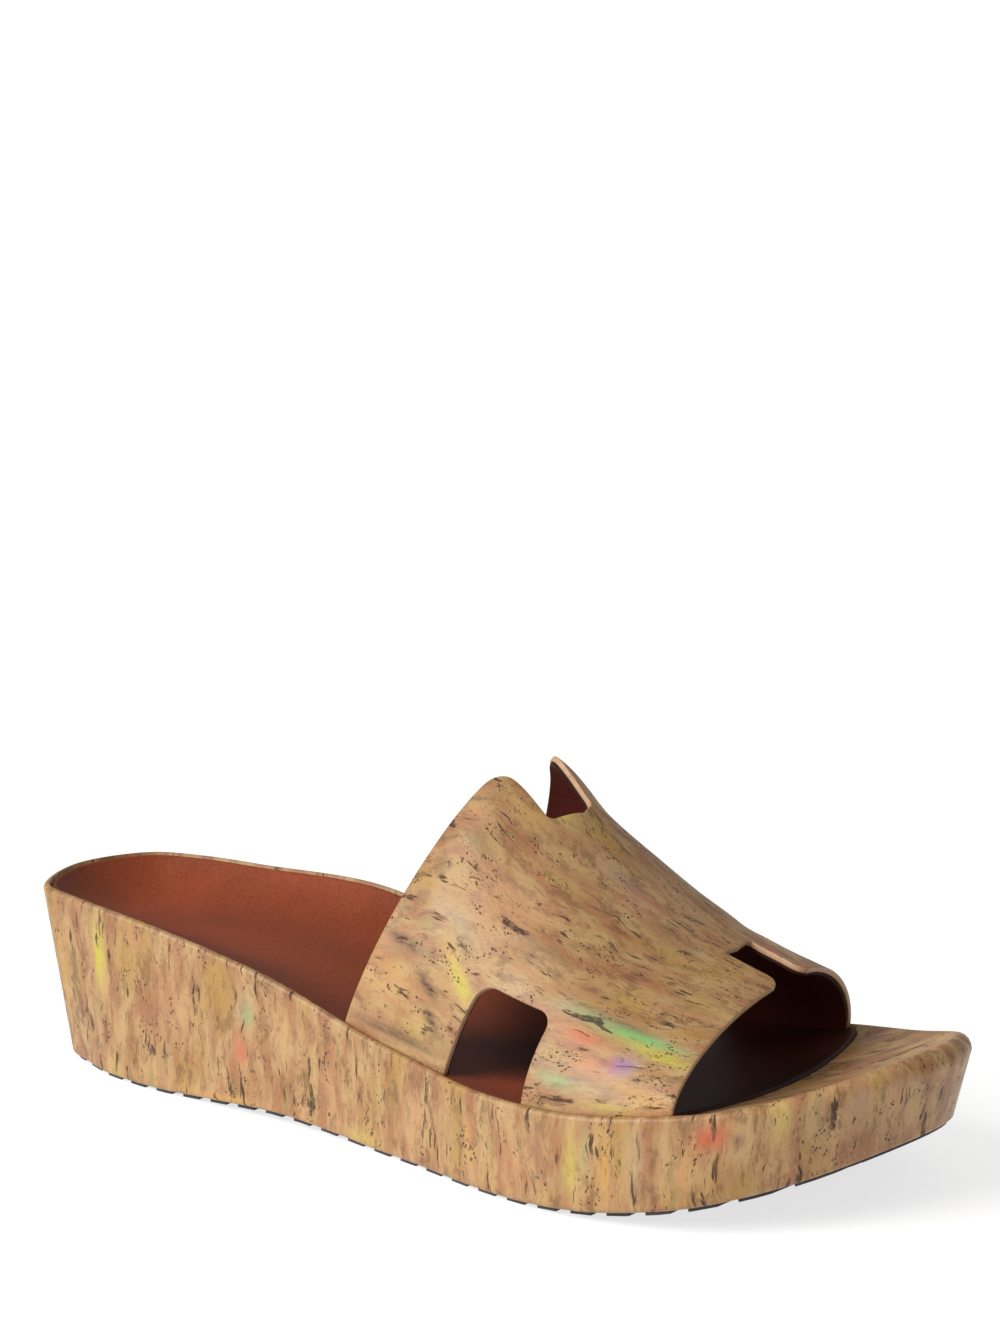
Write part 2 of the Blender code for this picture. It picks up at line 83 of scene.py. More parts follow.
def curve_through(table: tuple[tuple[float, ...], ...], column: int, at: np.ndarray) -> np.ndarray:
    """Reads a table's column at any place by a cubic curve that never overshoots its rows.

    Args:
        table: rows whose first number is the place.
        column: the column that is read.
        at: the places wanted.

    Returns:
        The values there.
    """
    places = np.array([row[0] for row in table])
    values = np.array([row[column] for row in table])
    steps = np.diff(places)
    slopes = np.diff(values) / steps
    tangents = np.zeros(len(values))
    same = slopes[:-1] * slopes[1:] > 0.0
    total = np.where(same, slopes[:-1] + slopes[1:], 1.0)
    tangents[1:-1] = np.where(same, 2.0 * slopes[:-1] * slopes[1:] / total, 0.0)
    tangents[0], tangents[-1] = slopes[0], slopes[-1]
    at = np.clip(np.asarray(at, dtype=float), places[0], places[-1])
    span = np.clip(np.searchsorted(places, at, side="right") - 1, 0, len(steps) - 1)
    rise = steps[span]
    t = (at - places[span]) / rise
    start = values[span] * (2 * t**3 - 3 * t**2 + 1) + tangents[span] * rise * (t**3 - 2 * t**2 + t)
    end = values[span + 1] * (3 * t**2 - 2 * t**3) + tangents[span + 1] * rise * (t**3 - t**2)
    return start + end


def closed_curve(points: list[tuple[float, float]], steps: int = 48) -> np.ndarray:
    """Draws a smooth closed curve through points, as a centripetal Catmull-Rom spline."""
    knotted = np.asarray(points, dtype=float)
    drawn: list[np.ndarray] = []
    for k in range(len(knotted)):
        a, b, c, d = (knotted[(k + shift) % len(knotted)] for shift in (-1, 0, 1, 2))
        t0, t1 = 0.0, math.sqrt(np.linalg.norm(b - a))
        t2 = t1 + math.sqrt(np.linalg.norm(c - b))
        t3 = t2 + math.sqrt(np.linalg.norm(d - c))
        t = np.linspace(t1, t2, steps, endpoint=False)[:, None]
        a1 = a + (b - a) * (t - t0) / (t1 - t0)
        a2 = b + (c - b) * (t - t1) / (t2 - t1)
        a3 = c + (d - c) * (t - t2) / (t3 - t2)
        b1 = a1 + (a2 - a1) * (t - t0) / (t2 - t0)
        b2 = a2 + (a3 - a2) * (t - t1) / (t3 - t1)
        drawn.append(b1 + (b2 - b1) * (t - t1) / (t2 - t1))
    return np.vstack(drawn)


# The sole's outline: place along the length, then outer and inner half widths as shares of the ball's width
OUTLINE = (
    (0.030, 0.240, 0.200),
    (0.080, 0.285, 0.260),
    (0.160, 0.315, 0.292),
    (0.280, 0.335, 0.318),
    (0.400, 0.357, 0.327),
    (0.520, 0.412, 0.362),
    (0.640, 0.492, 0.434),
    (0.740, 0.517, 0.480),
    (0.840, 0.465, 0.476),
    (0.920, 0.335, 0.408),
    (0.975, 0.155, 0.290),
)
# The rim's height: place, then shares of the heel's rise, the toe's change and the arch's rise
RIM = (
    (0.00, 1.000, 0.00, 0.00),
    (0.15, 0.895, 0.00, 0.25),
    (0.32, 0.620, 0.00, 1.00),
    (0.50, 0.160, 0.00, 0.65),
    (0.65, 0.010, 0.00, 0.15),
    (0.80, 0.000, 0.20, 0.00),
    (0.90, 0.000, 0.85, 0.00),
    (1.00, 0.000, 1.00, 0.00),
)
# The ground line: place, then shares of the waist's lift and of the toe spring
GROUND = (
    (0.00, 0.00, 0.000),
    (0.20, 0.00, 0.000),
    (0.26, 0.40, 0.000),
    (0.35, 1.00, 0.000),
    (0.44, 0.40, 0.000),
    (0.50, 0.00, 0.000),
    (0.66, 0.00, 0.000),
    (0.74, 0.00, 0.055),
    (0.82, 0.00, 0.221),
    (0.90, 0.00, 0.498),
    (1.00, 0.00, 1.000),
)
# How far the wall's foot stands in from its rim: place, then shares at the heel and at the toe
LEAN = (
    (0.00, 1.00, 0.00),
    (0.04, 0.86, 0.00),
    (0.08, 0.55, 0.00),
    (0.13, 0.12, 0.00),
    (0.18, 0.00, 0.00),
    (0.84, 0.00, 0.00),
    (0.92, 0.00, 0.45),
    (1.00, 0.00, 1.00),
)
# The footbed's hollow: place, then share of its depth
CUP = (
    (0.00, 0.70),
    (0.10, 1.00),
    (0.25, 0.92),
    (0.45, 0.50),
    (0.65, 0.30),
    (0.82, 0.26),
    (0.92, 0.16),
    (1.00, 0.02),
)
# The band's crest: place, share of the instep's height, then how full its outer and inner sides are
INSTEP = (
    (0.42, 0.920, 1.62, 2.20),
    (0.50, 1.000, 1.62, 2.30),
    (0.53, 1.035, 1.62, 2.40),
    (0.55, 1.010, 1.62, 2.40),
    (0.60, 0.865, 1.66, 2.15),
    (0.65, 0.745, 1.72, 2.08),
    (0.70, 0.610, 1.76, 2.00),
    (0.75, 0.495, 1.74, 1.92),
    (0.80, 0.395, 1.72, 1.88),
    (0.86, 0.290, 1.70, 1.88),
)


class Last:
    """The form that the sole and the band are built on, in metres from the heel's back edge."""

    length: float = 260.8 * MM
    ball: float = 94.0 * MM
    heel: float = 46.8 * MM
    platform: float = 24.0 * MM
    toe: float = 21.6 * MM
    arch: float = 6.4 * MM
    spring: float = 16.5 * MM
    waist: float = 1.6 * MM
    heel_tuck: float = 6.8 * MM
    toe_tuck: float = 4.6 * MM
    cup: float = 7.5 * MM
    cup_shape: float = 2.6
    heel_tip: float = -0.012
    toe_tip: float = 0.095
    spine_ends: tuple[float, float] = (0.11, 0.84)
    instep: float = 64.0 * MM
    crest_shift: float = 7.0 * MM
    rim_width: float = 1.6 * MM
    gap: float = 0.3 * MM
    tip_overlap: float = 3.0 * MM
    least_half: float = ball / 40
    arc_front: float = 222.0 * MM
    arc_radius: float = 125.0 * MM

    def __init__(self) -> None:
        """Draws the outline's two sides and finds the middle of its box."""
        tips = [(0.0, self.heel_tip * self.ball), (self.length, self.toe_tip * self.ball)]
        outer = [(row[0] * self.length, -row[1] * self.ball) for row in OUTLINE]
        inner = [(row[0] * self.length, row[2] * self.ball) for row in OUTLINE]
        drawn = closed_curve([tips[0], *outer, tips[1], *inner[::-1]])
        drawn = np.roll(drawn, -int(np.argmin(drawn[:, 0])), axis=0)
        toe = int(np.argmax(drawn[:, 0]))
        self.outer_side = drawn[: toe + 1]
        self.inner_side = np.vstack([drawn[toe:], drawn[:1]])[::-1]
        self.ends = (float(drawn[0, 0]), float(drawn[toe, 0]))
        self.middle = np.array([
            (drawn[:, 0].min() + drawn[:, 0].max()) / 2,
            (drawn[:, 1].min() + drawn[:, 1].max()) / 2,
            0.0,
        ])

    def side(self, x: np.ndarray, inner: np.ndarray) -> np.ndarray:
        """Returns the outline's y at x on the inner or the outer side."""
        near = np.interp(x, self.outer_side[:, 0], self.outer_side[:, 1])
        far = np.interp(x, self.inner_side[:, 0], self.inner_side[:, 1])
        return np.where(inner, far, near)

    def ground(self, x: np.ndarray) -> np.ndarray:
        """Returns the height of the sole's ground line."""
        along = x / self.length
        return self.waist * curve_through(GROUND, 1, along) + self.spring * curve_through(GROUND, 2, along)

    def rim(self, x: np.ndarray, inner: np.ndarray) -> np.ndarray:
        """Returns the rim's height; inner is 1 on the big-toe side and 0 on the other."""
        along = x / self.length
        heel = (self.heel - self.platform) * curve_through(RIM, 1, along)
        toe = (self.toe - self.platform) * curve_through(RIM, 2, along)
        spring = self.spring * curve_through(GROUND, 2, along)
        return self.platform + heel + toe + spring + self.arch * curve_through(RIM, 3, along) * inner

    def spine(self, x: np.ndarray) -> np.ndarray:
        """Returns the plan points of the footbed's middle line nearest to x."""
        low, high = (end * self.length for end in self.spine_ends)
        held = np.clip(x, low, high)
        middle = (self.side(held, np.array(False)) + self.side(held, np.array(True))) / 2
        return np.column_stack([held, middle])

    def hollow(self, plan: np.ndarray, edge: "Ring", inset: float) -> np.ndarray:
        """Returns the footbed's height over plan points.

        Args:
            plan: points in plan.
            edge: the ring whose rim bounds the footbed.
            inset: how far inside the outline the hollow begins.

        Returns:
            The heights there.
        """
        border = edge.inset(inset, edge.rim)
        home = self.spine(plan[:, 0])
        rays = plan - home
        middle = self.rim(home[:, 0], np.array(0.5))
        middle = middle - self.cup * curve_through(CUP, 1, home[:, 0] / self.length)
        reach = np.ones(len(plan))
        top = np.zeros(len(plan))
        low, high = (end * self.length for end in self.spine_ends)
        for end, beyond, ahead in ((low, plan[:, 0] < low, -1.0), (high, plan[:, 0] > high, 1.0)):
            kept = (border[:, 0] - end) * ahead >= -self.tip_overlap
            arm = border[kept, :2] - self.spine(np.array([end]))[0]
            turn = np.arctan2(arm[:, 1], arm[:, 0] * ahead)
            order = np.argsort(turn)
            asked = np.arctan2(rays[beyond, 1], rays[beyond, 0] * ahead)
            reach[beyond] = np.interp(asked, turn[order], np.linalg.norm(arm, axis=1)[order])
            top[beyond] = np.interp(asked, turn[order], border[kept, 2][order])
        between = (plan[:, 0] >= low) & (plan[:, 0] <= high)
        inner = rays[between, 1] > 0
        x = plan[between, 0]
        wall = self.side(x, inner) - np.where(inner, inset, -inset)
        reach[between] = np.abs(wall - home[between, 1])
        top[between] = self.rim(x, inner.astype(float))
        share = np.clip(np.linalg.norm(rays, axis=1) / reach, 0.0, 1.0)
        return middle + (top - middle) * share**self.cup_shape

    def to_row(self, points: np.ndarray) -> np.ndarray:
        """Moves points from the heel's back edge to the part's own origin."""
        return points - self.middle


class Ring:
    """The sole's outline as a closed ring of points, from the heel along the outer side and back."""

    def __init__(self, last: Last, stations: int) -> None:
        """Samples the outline.

        Args:
            last: the form.
            stations: the number of steps along each side.
        """
        self.last = last
        turn = np.linspace(0.0, math.pi, stations + 1)
        x = last.ends[0] + (last.ends[1] - last.ends[0]) * (1 - np.cos(turn)) / 2
        outer = np.column_stack([x, last.side(x, np.array(False))])
        inner = np.column_stack([x, last.side(x, np.array(True))])
        self.edge = np.vstack([outer, inner[-2:0:-1]])
        self.x = self.edge[:, 0]
        ahead = np.roll(self.edge, -1, axis=0) - np.roll(self.edge, 1, axis=0)
        tangent = ahead / np.linalg.norm(ahead, axis=1)[:, None]
        self.inward = np.column_stack([-tangent[:, 1], tangent[:, 0]])
        near, far = last.side(self.x, np.array(False)), last.side(self.x, np.array(True))
        side = (self.edge[:, 1] - (near + far) / 2) / np.maximum((far - near) / 2, last.least_half)
        self.inner = np.clip(side, -1.0, 1.0) * 0.5 + 0.5
        self.rim = last.rim(self.x, self.inner)
        self.ground = last.ground(self.x)
        along = self.x / last.length
        self.lean = last.heel_tuck * curve_through(LEAN, 1, along)
        self.lean = self.lean + last.toe_tuck * curve_through(LEAN, 2, along)
        step = np.linalg.norm(np.roll(self.edge, -1, axis=0) - self.edge, axis=1)
        self.run = np.concatenate([[0.0], np.cumsum(step)])

    def inset(self, distance: Any, height: Any) -> np.ndarray:
        """Returns the ring moved in by a distance, at a height."""
        plan = self.edge + self.inward * np.broadcast_to(distance, self.x.shape)[:, None]
        return np.column_stack([plan, np.broadcast_to(height, self.x.shape)])

    def drawn_in(self, ring: np.ndarray, share: float) -> np.ndarray:
        """Returns the plan of a ring drawn in to the middle line; a share of 0 is that line."""
        spine = self.last.spine(self.x)
        return spine + (ring[:, :2] - spine) * share

    def footbed(self, ring: np.ndarray, share: float) -> np.ndarray:
        """Returns a ring of the hollow footbed between its edge (share 1) and its middle line."""
        plan = self.drawn_in(ring, share)
        spine = self.last.spine(self.x)
        middle = self.last.rim(spine[:, 0], np.array(0.5))
        middle = middle - self.last.cup * curve_through(CUP, 1, spine[:, 0] / self.last.length)
        return np.column_stack([plan, middle + (ring[:, 2] - middle) * share**self.last.cup_shape])

    def level(self, ring: np.ndarray, share: float, lift: float) -> np.ndarray:
        """Returns a ring that follows the ground line, drawn in to the middle line."""
        plan = self.drawn_in(ring, share)
        return np.column_stack([plan, self.last.ground(plan[:, 0]) + lift])


def hold(thing: bpy.types.Object) -> None:
    """Deselects everything and makes one object the active one."""
    if bpy.context.object is not None and bpy.context.object.mode != "OBJECT":
        bpy.ops.object.mode_set(mode="OBJECT")
    bpy.ops.object.select_all(action="DESELECT")
    thing.select_set(True)
    bpy.context.view_layer.objects.active = thing


@contextmanager
def all_selected(thing: bpy.types.Object) -> Iterator[None]:
    """Keeps a mesh object in edit mode, at first with all of it selected."""
    hold(thing)
    bpy.ops.object.mode_set(mode="EDIT")
    bpy.ops.mesh.select_all(action="SELECT")
    yield
    bpy.ops.object.mode_set(mode="OBJECT")


def read_points(thing: bpy.types.Object) -> np.ndarray:
    """Returns a mesh object's vertex places as an array."""
    places = np.zeros(len(thing.data.vertices) * 3)
    thing.data.vertices.foreach_get("co", places)
    return places.reshape(-1, 3)


def write_points(thing: bpy.types.Object, places: np.ndarray) -> None:
    """Moves a mesh object's vertices to new places."""
    thing.data.vertices.foreach_set("co", np.ascontiguousarray(places, dtype=float).ravel())
    thing.data.update()


class Tube:
    """A closed skin made ring by ring: a circle is laid down, extruded, and each new ring is placed."""

    def __init__(self, name: str, first: np.ndarray) -> None:
        """Lays the first ring.

        Args:
            name: the piece's name.
            first: the ring's points.
        """
        bpy.ops.object.select_all(action="DESELECT")
        self.count = len(first)
        bpy.ops.mesh.primitive_circle_add(vertices=self.count, radius=0.05, location=(0.0, 0.0, 0.0))
        self.thing = bpy.context.object
        self.thing.name = name
        self.thing.data.name = name
        write_points(self.thing, first)
        self.rings = [first]
        self.place = {k: (0, k) for k in range(self.count)}
        bpy.ops.object.mode_set(mode="EDIT")
        bpy.ops.mesh.select_all(action="SELECT")

    def extrude(self, ring: np.ndarray) -> None:
        """Extrudes the last ring and moves the new one to its points."""
        bpy.ops.mesh.extrude_region_move()
        shape = bmesh.from_edit_mesh(self.thing.data)
        shape.verts.ensure_lookup_table()
        level = len(self.rings)
        for vertex in (v for v in shape.verts if v.select):
            others = (self.place.get(edge.other_vert(vertex).index, (-1, 0)) for edge in vertex.link_edges)
            k = next(around for below, around in others if below == level - 1)
            self.place[vertex.index] = (level, k)
            vertex.co = Vector(ring[k])
        bmesh.update_edit_mesh(self.thing.data)
        self.rings.append(ring)

    def finish(self, uv: "PrintMap") -> bpy.types.Object:
        """Writes the print's map, closes the ends and returns the piece."""
        bpy.ops.object.mode_set(mode="OBJECT")
        mesh = self.thing.data
        layer = mesh.uv_layers.new(name="print")
        for polygon in mesh.polygons:
            places = [self.place[v] for v in polygon.vertices]
            levels = [level for level, _ in places]
            ends = any(k == self.count - 1 for _, k in places)
            for corner, (level, k) in zip(polygon.loop_indices, places):
                around = self.count if ends and k == 0 else k
                layer.data[corner].uv = uv.at(level, around, max(levels))
        with all_selected(self.thing):
            bpy.ops.mesh.remove_doubles(threshold=MERGE)
            bpy.ops.mesh.normals_make_consistent(inside=False)
        bpy.ops.object.shade_smooth()
        return self.thing


class PrintMap:
    """Where the sheet material lies on a tube: up the wall, then flat over the top."""

    def __init__(self, rings: list[np.ndarray], turn: float, top_from: int) -> None:
        """Measures the rings.

        Args:
            rings: the tube's rings.
            turn: the turn of the grain on the top, in degrees from the toe's direction.
            top_from: the first ring of the top.
        """
        stack = np.array(rings)
        climb = np.linalg.norm(np.diff(stack, axis=0), axis=2)
        self.up = np.vstack([np.zeros(stack.shape[1]), np.cumsum(climb, axis=0)])
        middle = stack[len(rings) // 2]
        steps = np.linalg.norm(np.roll(middle, -1, axis=0) - middle, axis=1)
        self.run = np.concatenate([[0.0], np.cumsum(steps)])
        self.stack = stack
        self.turn = math.radians(turn)
        self.top_from = top_from

    def at(self, level: int, around: int, highest: int) -> tuple[float, float]:
        """Returns the print's place for a corner of a face whose highest ring is given."""
        k = around % self.stack.shape[1]
        if highest > self.top_from:
            x, y = self.stack[level, k, :2]
            cos, sin = math.cos(self.turn), math.sin(self.turn)
            return (x * cos + y * sin + 1.0, y * cos - x * sin)
        return (float(self.up[level, k]), float(self.run[around]))


# The colour that lies under the strokes, unseen, and how sharply their edges fall off
UNPAINTED = (0.5, 0.3, 0.15)
EDGE_POWER = 1.2


@dataclass(frozen=True)
class Tint:
    """A soft-edged stroke of colour in the cork's print, placed on its map in millimetres."""

    u: float
    v: float
    long: float
    wide: float
    turn: float
    colour: Colour
    strength: float


def paint(thing: bpy.types.Object, strokes: tuple[Tint, ...], places: np.ndarray) -> None:
    """Paints strokes into the piece's colour attribute.

    Args:
        thing: the piece.
        strokes: the strokes, later ones over earlier ones.
        places: each vertex's place on the map, in millimetres.
    """
    layer = thing.data.color_attributes.new(name="stroke", type="FLOAT_COLOR", domain="POINT")
    colour = np.zeros((len(places), 4))
    colour[:, :3] = UNPAINTED
    for stroke in strokes:
        turn = math.radians(stroke.turn)
        away = places - np.array([stroke.u, stroke.v])
        along = (away[:, 0] * math.cos(turn) + away[:, 1] * math.sin(turn)) / stroke.long * 2
        across = (away[:, 1] * math.cos(turn) - away[:, 0] * math.sin(turn)) / stroke.wide * 2
        share = stroke.strength * np.exp(-((along**2 + across**2) ** EDGE_POWER))
        colour[:, :3] += (np.array(stroke.colour[:3]) - colour[:, :3]) * share[:, None]
        colour[:, 3] = np.maximum(colour[:, 3], share)
    layer.data.foreach_set("color", colour.ravel())


class Signal:
    """A number that a shader works out, handled with Python's operators."""

    def __init__(self, bench: "Bench", socket: bpy.types.NodeSocket) -> None:
        """Wraps a node's output."""
        self.bench = bench
        self.socket = socket

    def _math(self, operation: str, *values: Any) -> "Signal":
        """Adds a Math node on this value and others."""
        node = self.bench.node("ShaderNodeMath", {"operation": operation}, dict(enumerate(values)))
        return Signal(self.bench, node.outputs[0])

    def __add__(self, other: Any) -> "Signal":
        """Adds."""
        return self._math("ADD", self, other)

    __radd__ = __add__

    def __sub__(self, other: Any) -> "Signal":
        """Takes away."""
        return self._math("SUBTRACT", self, other)

    def __rsub__(self, other: Any) -> "Signal":
        """Takes this from a number."""
        return self._math("SUBTRACT", other, self)

    def __mul__(self, other: Any) -> "Signal":
        """Multiplies."""
        return self._math("MULTIPLY", self, other)

    __rmul__ = __mul__

    def larger(self, other: Any) -> "Signal":
        """Returns the larger of two values."""
        return self._math("MAXIMUM", self, other)

    def step(self, low: float, high: float) -> "Signal":
        """Returns a soft step from 0 at low to 1 at high; low may be the larger."""
        settings = {"interpolation_type": "SMOOTHSTEP", "clamp": True}
        if low > high:
            return 1.0 - self.step(high, low)
        node = self.bench.node("ShaderNodeMapRange", settings, {0: self, 1: low, 2: high, 3: 0.0, 4: 1.0})
        return Signal(self.bench, node.outputs[0])


class Bench:
    """A material's node tree, with one method that adds any node."""

    def __init__(self, name: str) -> None:
        """Starts a material with a Principled shader."""
        self.material = bpy.data.materials.new(name)
        self.material.use_nodes = True
        self.tree = self.material.node_tree
        self.tree.nodes.clear()
        output = self.tree.nodes.new("ShaderNodeOutputMaterial")
        self.shader = self.tree.nodes.new("ShaderNodeBsdfPrincipled")
        self.tree.links.new(self.shader.outputs[0], output.inputs[0])

    def node(self, kind: str, settings: dict[str, Any], values: dict[Any, Any]) -> bpy.types.Node:
        """Adds a node.

        Args:
            kind: the node's type.
            settings: its own settings, set first.
            values: numbers, colours or links for its inputs, by name or place.

        Returns:
            The node.
        """
        made = self.tree.nodes.new(kind)
        for name, value in settings.items():
            setattr(made, name, value)
        for name, value in values.items():
            self.feed(made.inputs[name], value)
        return made

    def feed(self, socket: bpy.types.NodeSocket, value: Any) -> None:
        """Sets a socket, or links it to a signal or another socket."""
        if isinstance(value, Signal):
            self.tree.links.new(value.socket, socket)
        elif isinstance(value, bpy.types.NodeSocket):
            self.tree.links.new(value, socket)
        else:
            socket.default_value = value

    def print_place(self) -> bpy.types.NodeSocket:
        """Returns the place on the print's map."""
        return self.node("ShaderNodeUVMap", {"uv_map": "print"}, {}).outputs[0]

    def object_place(self) -> bpy.types.NodeSocket:
        """Returns the place in the part's own frame."""
        return self.node("ShaderNodeTexCoord", {}, {}).outputs["Object"]

    def moved(self, place: bpy.types.NodeSocket, tight: float,
              shift: tuple[float, float] = (0.0, 0.0)) -> bpy.types.NodeSocket:
        """Returns a place on the print shifted, and drawn together across the grain."""
        values = {"Location": (*shift, 0.0), "Scale": (1.0, tight, 1.0)}
        return self.node("ShaderNodeMapping", {}, {"Vector": place, **values}).outputs[0]

    def noise(self, place: bpy.types.NodeSocket, scale: float, detail: float, rough: float = 0.55) -> Signal:
        """Returns cloudy noise from 0 to 1."""
        values = {"Vector": place, "Scale": scale, "Detail": detail, "Roughness": rough}
        return Signal(self, self.node("ShaderNodeTexNoise", {}, values).outputs[0])

    def cells(self, place: bpy.types.NodeSocket, scale: float, feature: str = "F1") -> Signal:
        """Returns the distance to scattered points, or to the borders between their cells."""
        node = self.node("ShaderNodeTexVoronoi", {"feature": feature}, {"Vector": place, "Scale": scale})
        return Signal(self, node.outputs["Distance"])

    def painted(self, name: str) -> Signal:
        """Returns the number that each vertex carries under a name."""
        return Signal(self, self.node("ShaderNodeAttribute", {"attribute_name": name}, {}).outputs[2])

    def mix(self, share: Any, first: Any, second: Any) -> bpy.types.NodeSocket:
        """Mixes two colours by a share."""
        settings = {"data_type": "RGBA", "clamp_factor": True}
        return self.node("ShaderNodeMix", settings, {0: share, 6: first, 7: second}).outputs[2]

    def bump(self, height: Signal, depth: float, strength: float) -> None:
        """Gives the shader a relief of a depth in metres."""
        node = self.node("ShaderNodeBump", {}, {"Strength": strength, "Distance": depth, "Height": height})
        self.feed(self.shader.inputs["Normal"], node.outputs[0])

    def surface(self, **values: Any) -> None:
        """Feeds the shader's inputs; an underscore in a name stands for a space."""
        for name, value in values.items():
            self.feed(self.shader.inputs[name.replace("_", " ")], value)


@dataclass(frozen=True)
class CorkPrint:
    """Printed cork fabric: marbled tan, fissures along the grain, fleck clusters and bits of colour."""

    name: str
    light: Colour = srgb(172, 138, 92)
    warm: Colour = srgb(146, 98, 64)
    gold: Colour = srgb(158, 122, 58)
    olive: Colour = srgb(126, 112, 62)
    brown: Colour = srgb(104, 70, 40)
    dark: Colour = srgb(48, 26, 12)
    cut_edge: Colour = srgb(172, 136, 104)
    warp_scale: float = 90.0
    warp: float = 0.0045

    def make(self) -> bpy.types.Material:
        """Builds the material."""
        bench = Bench(self.name)
        place = bench.print_place()
        values = {"Vector": place, "Scale": self.warp_scale, "Detail": 2.0}
        clouded = bench.node("ShaderNodeTexNoise", {}, values).outputs[1]
        values = {0: self.warp, 4: place, 5: clouded}
        bent = bench.node("ShaderNodeMix", {"data_type": "VECTOR"}, values).outputs[1]
        clouds = bench.noise(bench.moved(bent, 3.6), 62.0, 4.0, 0.6)
        patches = bench.noise(bench.moved(bent, 1.8, (0.9, 0.2)), 34.0, 2.0)
        lanes = bench.noise(bench.moved(bent, 4.5, (0.1, 0.5)), 48.0, 2.0)
        marble = bench.noise(bench.moved(bent, 2.2, (0.5, 0.9)), 150.0, 4.0, 0.7)
        mottle = bench.noise(bench.moved(bent, 2.4, (0.3, 0.7)), 420.0, 3.0, 0.6)
        ragged = bench.noise(bench.moved(bent, 3.0, (0.4, 0.4)), 210.0, 3.0, 0.7)
        colour = bench.mix(clouds.step(0.34, 0.66), self.warm, self.light)
        colour = bench.mix(patches.step(0.50, 0.68) * 0.75, colour, self.gold)
        colour = bench.mix(lanes.step(0.58, 0.72) * 0.55, colour, self.olive)
        colour = bench.mix(marble.step(0.50, 0.36) * 0.62, colour, self.brown)
        colour = bench.mix(mottle.step(0.46, 0.32) * 0.40, colour, self.brown)
        stroke = bench.node("ShaderNodeVertexColor", {"layer_name": "stroke"}, {})
        worn = Signal(bench, stroke.outputs[1]) * (ragged.step(0.30, 0.54) * 0.50 + 0.50)
        colour = bench.mix(worn, colour, stroke.outputs[0])
        cracks = self.cracks(bench, bent, ragged)
        fleck_zone = bench.noise(bench.moved(bent, 1.6, (0.7, 0.3)), 70.0, 2.0)
        fleck_pick = bench.noise(bench.moved(bent, 1.5, (0.5, 0.5)), 260.0, 2.0, 0.7)
        flecks = bench.cells(bench.moved(bent, 1.5), 900.0).step(0.42, 0.22)
        flecks = flecks * fleck_pick.step(0.52, 0.60) * fleck_zone.step(0.46, 0.58)
        dark = cracks.larger(flecks)
        colour = bench.mix(dark * 0.90, colour, self.dark)
        pale = bench.cells(bench.moved(bent, 1.3, (0.8, 0.8)), 640.0).step(0.30, 0.16)
        pale = pale * fleck_zone.step(0.40, 0.55)
        colour = bench.mix(pale * 0.35, colour, self.light)
        colour = bench.mix(bench.painted("cut_and_shade"), colour, self.cut_edge)
        relief = clouds * 0.35 + mottle * 0.35 - cracks * 1.4 - flecks * 0.9 + pale * 0.2
        bench.surface(Base_Color=colour, Roughness=0.52 + dark * 0.25 - clouds * 0.08)
        bench.surface(Specular_IOR_Level=0.42, Coat_Weight=0.06, Coat_Roughness=0.35)
        bench.bump(relief, 0.35 * MM, 0.7)
        return bench.material

    def cracks(self, bench: Bench, bent: bpy.types.NodeSocket, ragged: Signal) -> Signal:
        """Returns where the short fissures and the longer gashes along the grain lie."""
        lines = bench.noise(bench.moved(bent, 7.0, (0.2, 0.8)), 85.0, 3.0, 0.62)
        zone = bench.noise(bench.moved(bent, 2.0, (0.6, 0.1)), 60.0, 1.0)
        gash_lines = bench.noise(bench.moved(bent, 5.0, (0.9, 0.6)), 46.0, 4.0, 0.68)
        gashes = gash_lines.step(0.625, 0.675) * (ragged.step(0.36, 0.54) * 0.5 + 0.5)
        return (lines.step(0.61, 0.67) * zone.step(0.44, 0.58)).larger(gashes)


@dataclass(frozen=True)
class SmoothLeather:
    """Smooth leather: fine pores and creases, rubbed lighter where the foot lies, and darkened to its deep
    colour at cut edges and where painted shade is stored.
    """

    name: str
    base: Colour
    rubbed: Colour
    deep: Colour
    rough: float = 0.46

    def make(self) -> bpy.types.Material:
        """Builds the material."""
        bench = Bench(self.name)
        place = bench.object_place()
        pores = bench.cells(place, 1100.0, "DISTANCE_TO_EDGE")
        soft = bench.noise(place, 26.0, 3.0)
        fine = bench.noise(place, 700.0, 2.0)
        colour = bench.mix(soft.step(0.38, 0.66), self.base, self.rubbed)
        colour = bench.mix(pores.step(0.09, 0.0) * 0.35, colour, self.deep)
        colour = bench.mix(fine.step(0.40, 0.66) * 0.12, colour, self.deep)
        # The deep colour goes on the lining's cut edges and lays the insole's painted shade
        colour = bench.mix(bench.painted("cut_and_shade"), colour, self.deep)
        bench.surface(Base_Color=colour, Roughness=self.rough + soft * 0.14, Specular_IOR_Level=0.22)
        bench.bump(pores.step(0.0, 0.12) + fine * 0.4, 0.06 * MM, 0.5)
        return bench.material


@dataclass(frozen=True)
class MouldedRubber:
    """Dark moulded rubber with a fine matt bloom and dust in its low places."""

    name: str
    base: Colour = srgb(58, 56, 60)
    dust: Colour = srgb(104, 92, 82)

    def make(self) -> bpy.types.Material:
        """Builds the material."""
        bench = Bench(self.name)
        place = bench.object_place()
        cloud = bench.noise(place, 60.0, 4.0)
        speck = bench.noise(place, 1400.0, 2.0)
        colour = bench.mix(cloud.step(0.45, 0.80) * 0.5, self.base, self.dust)
        bench.surface(Base_Color=colour, Roughness=0.68 + speck * 0.2, Specular_IOR_Level=0.35)
        bench.bump(speck + cloud * 0.6, 0.05 * MM, 0.5)
        return bench.material


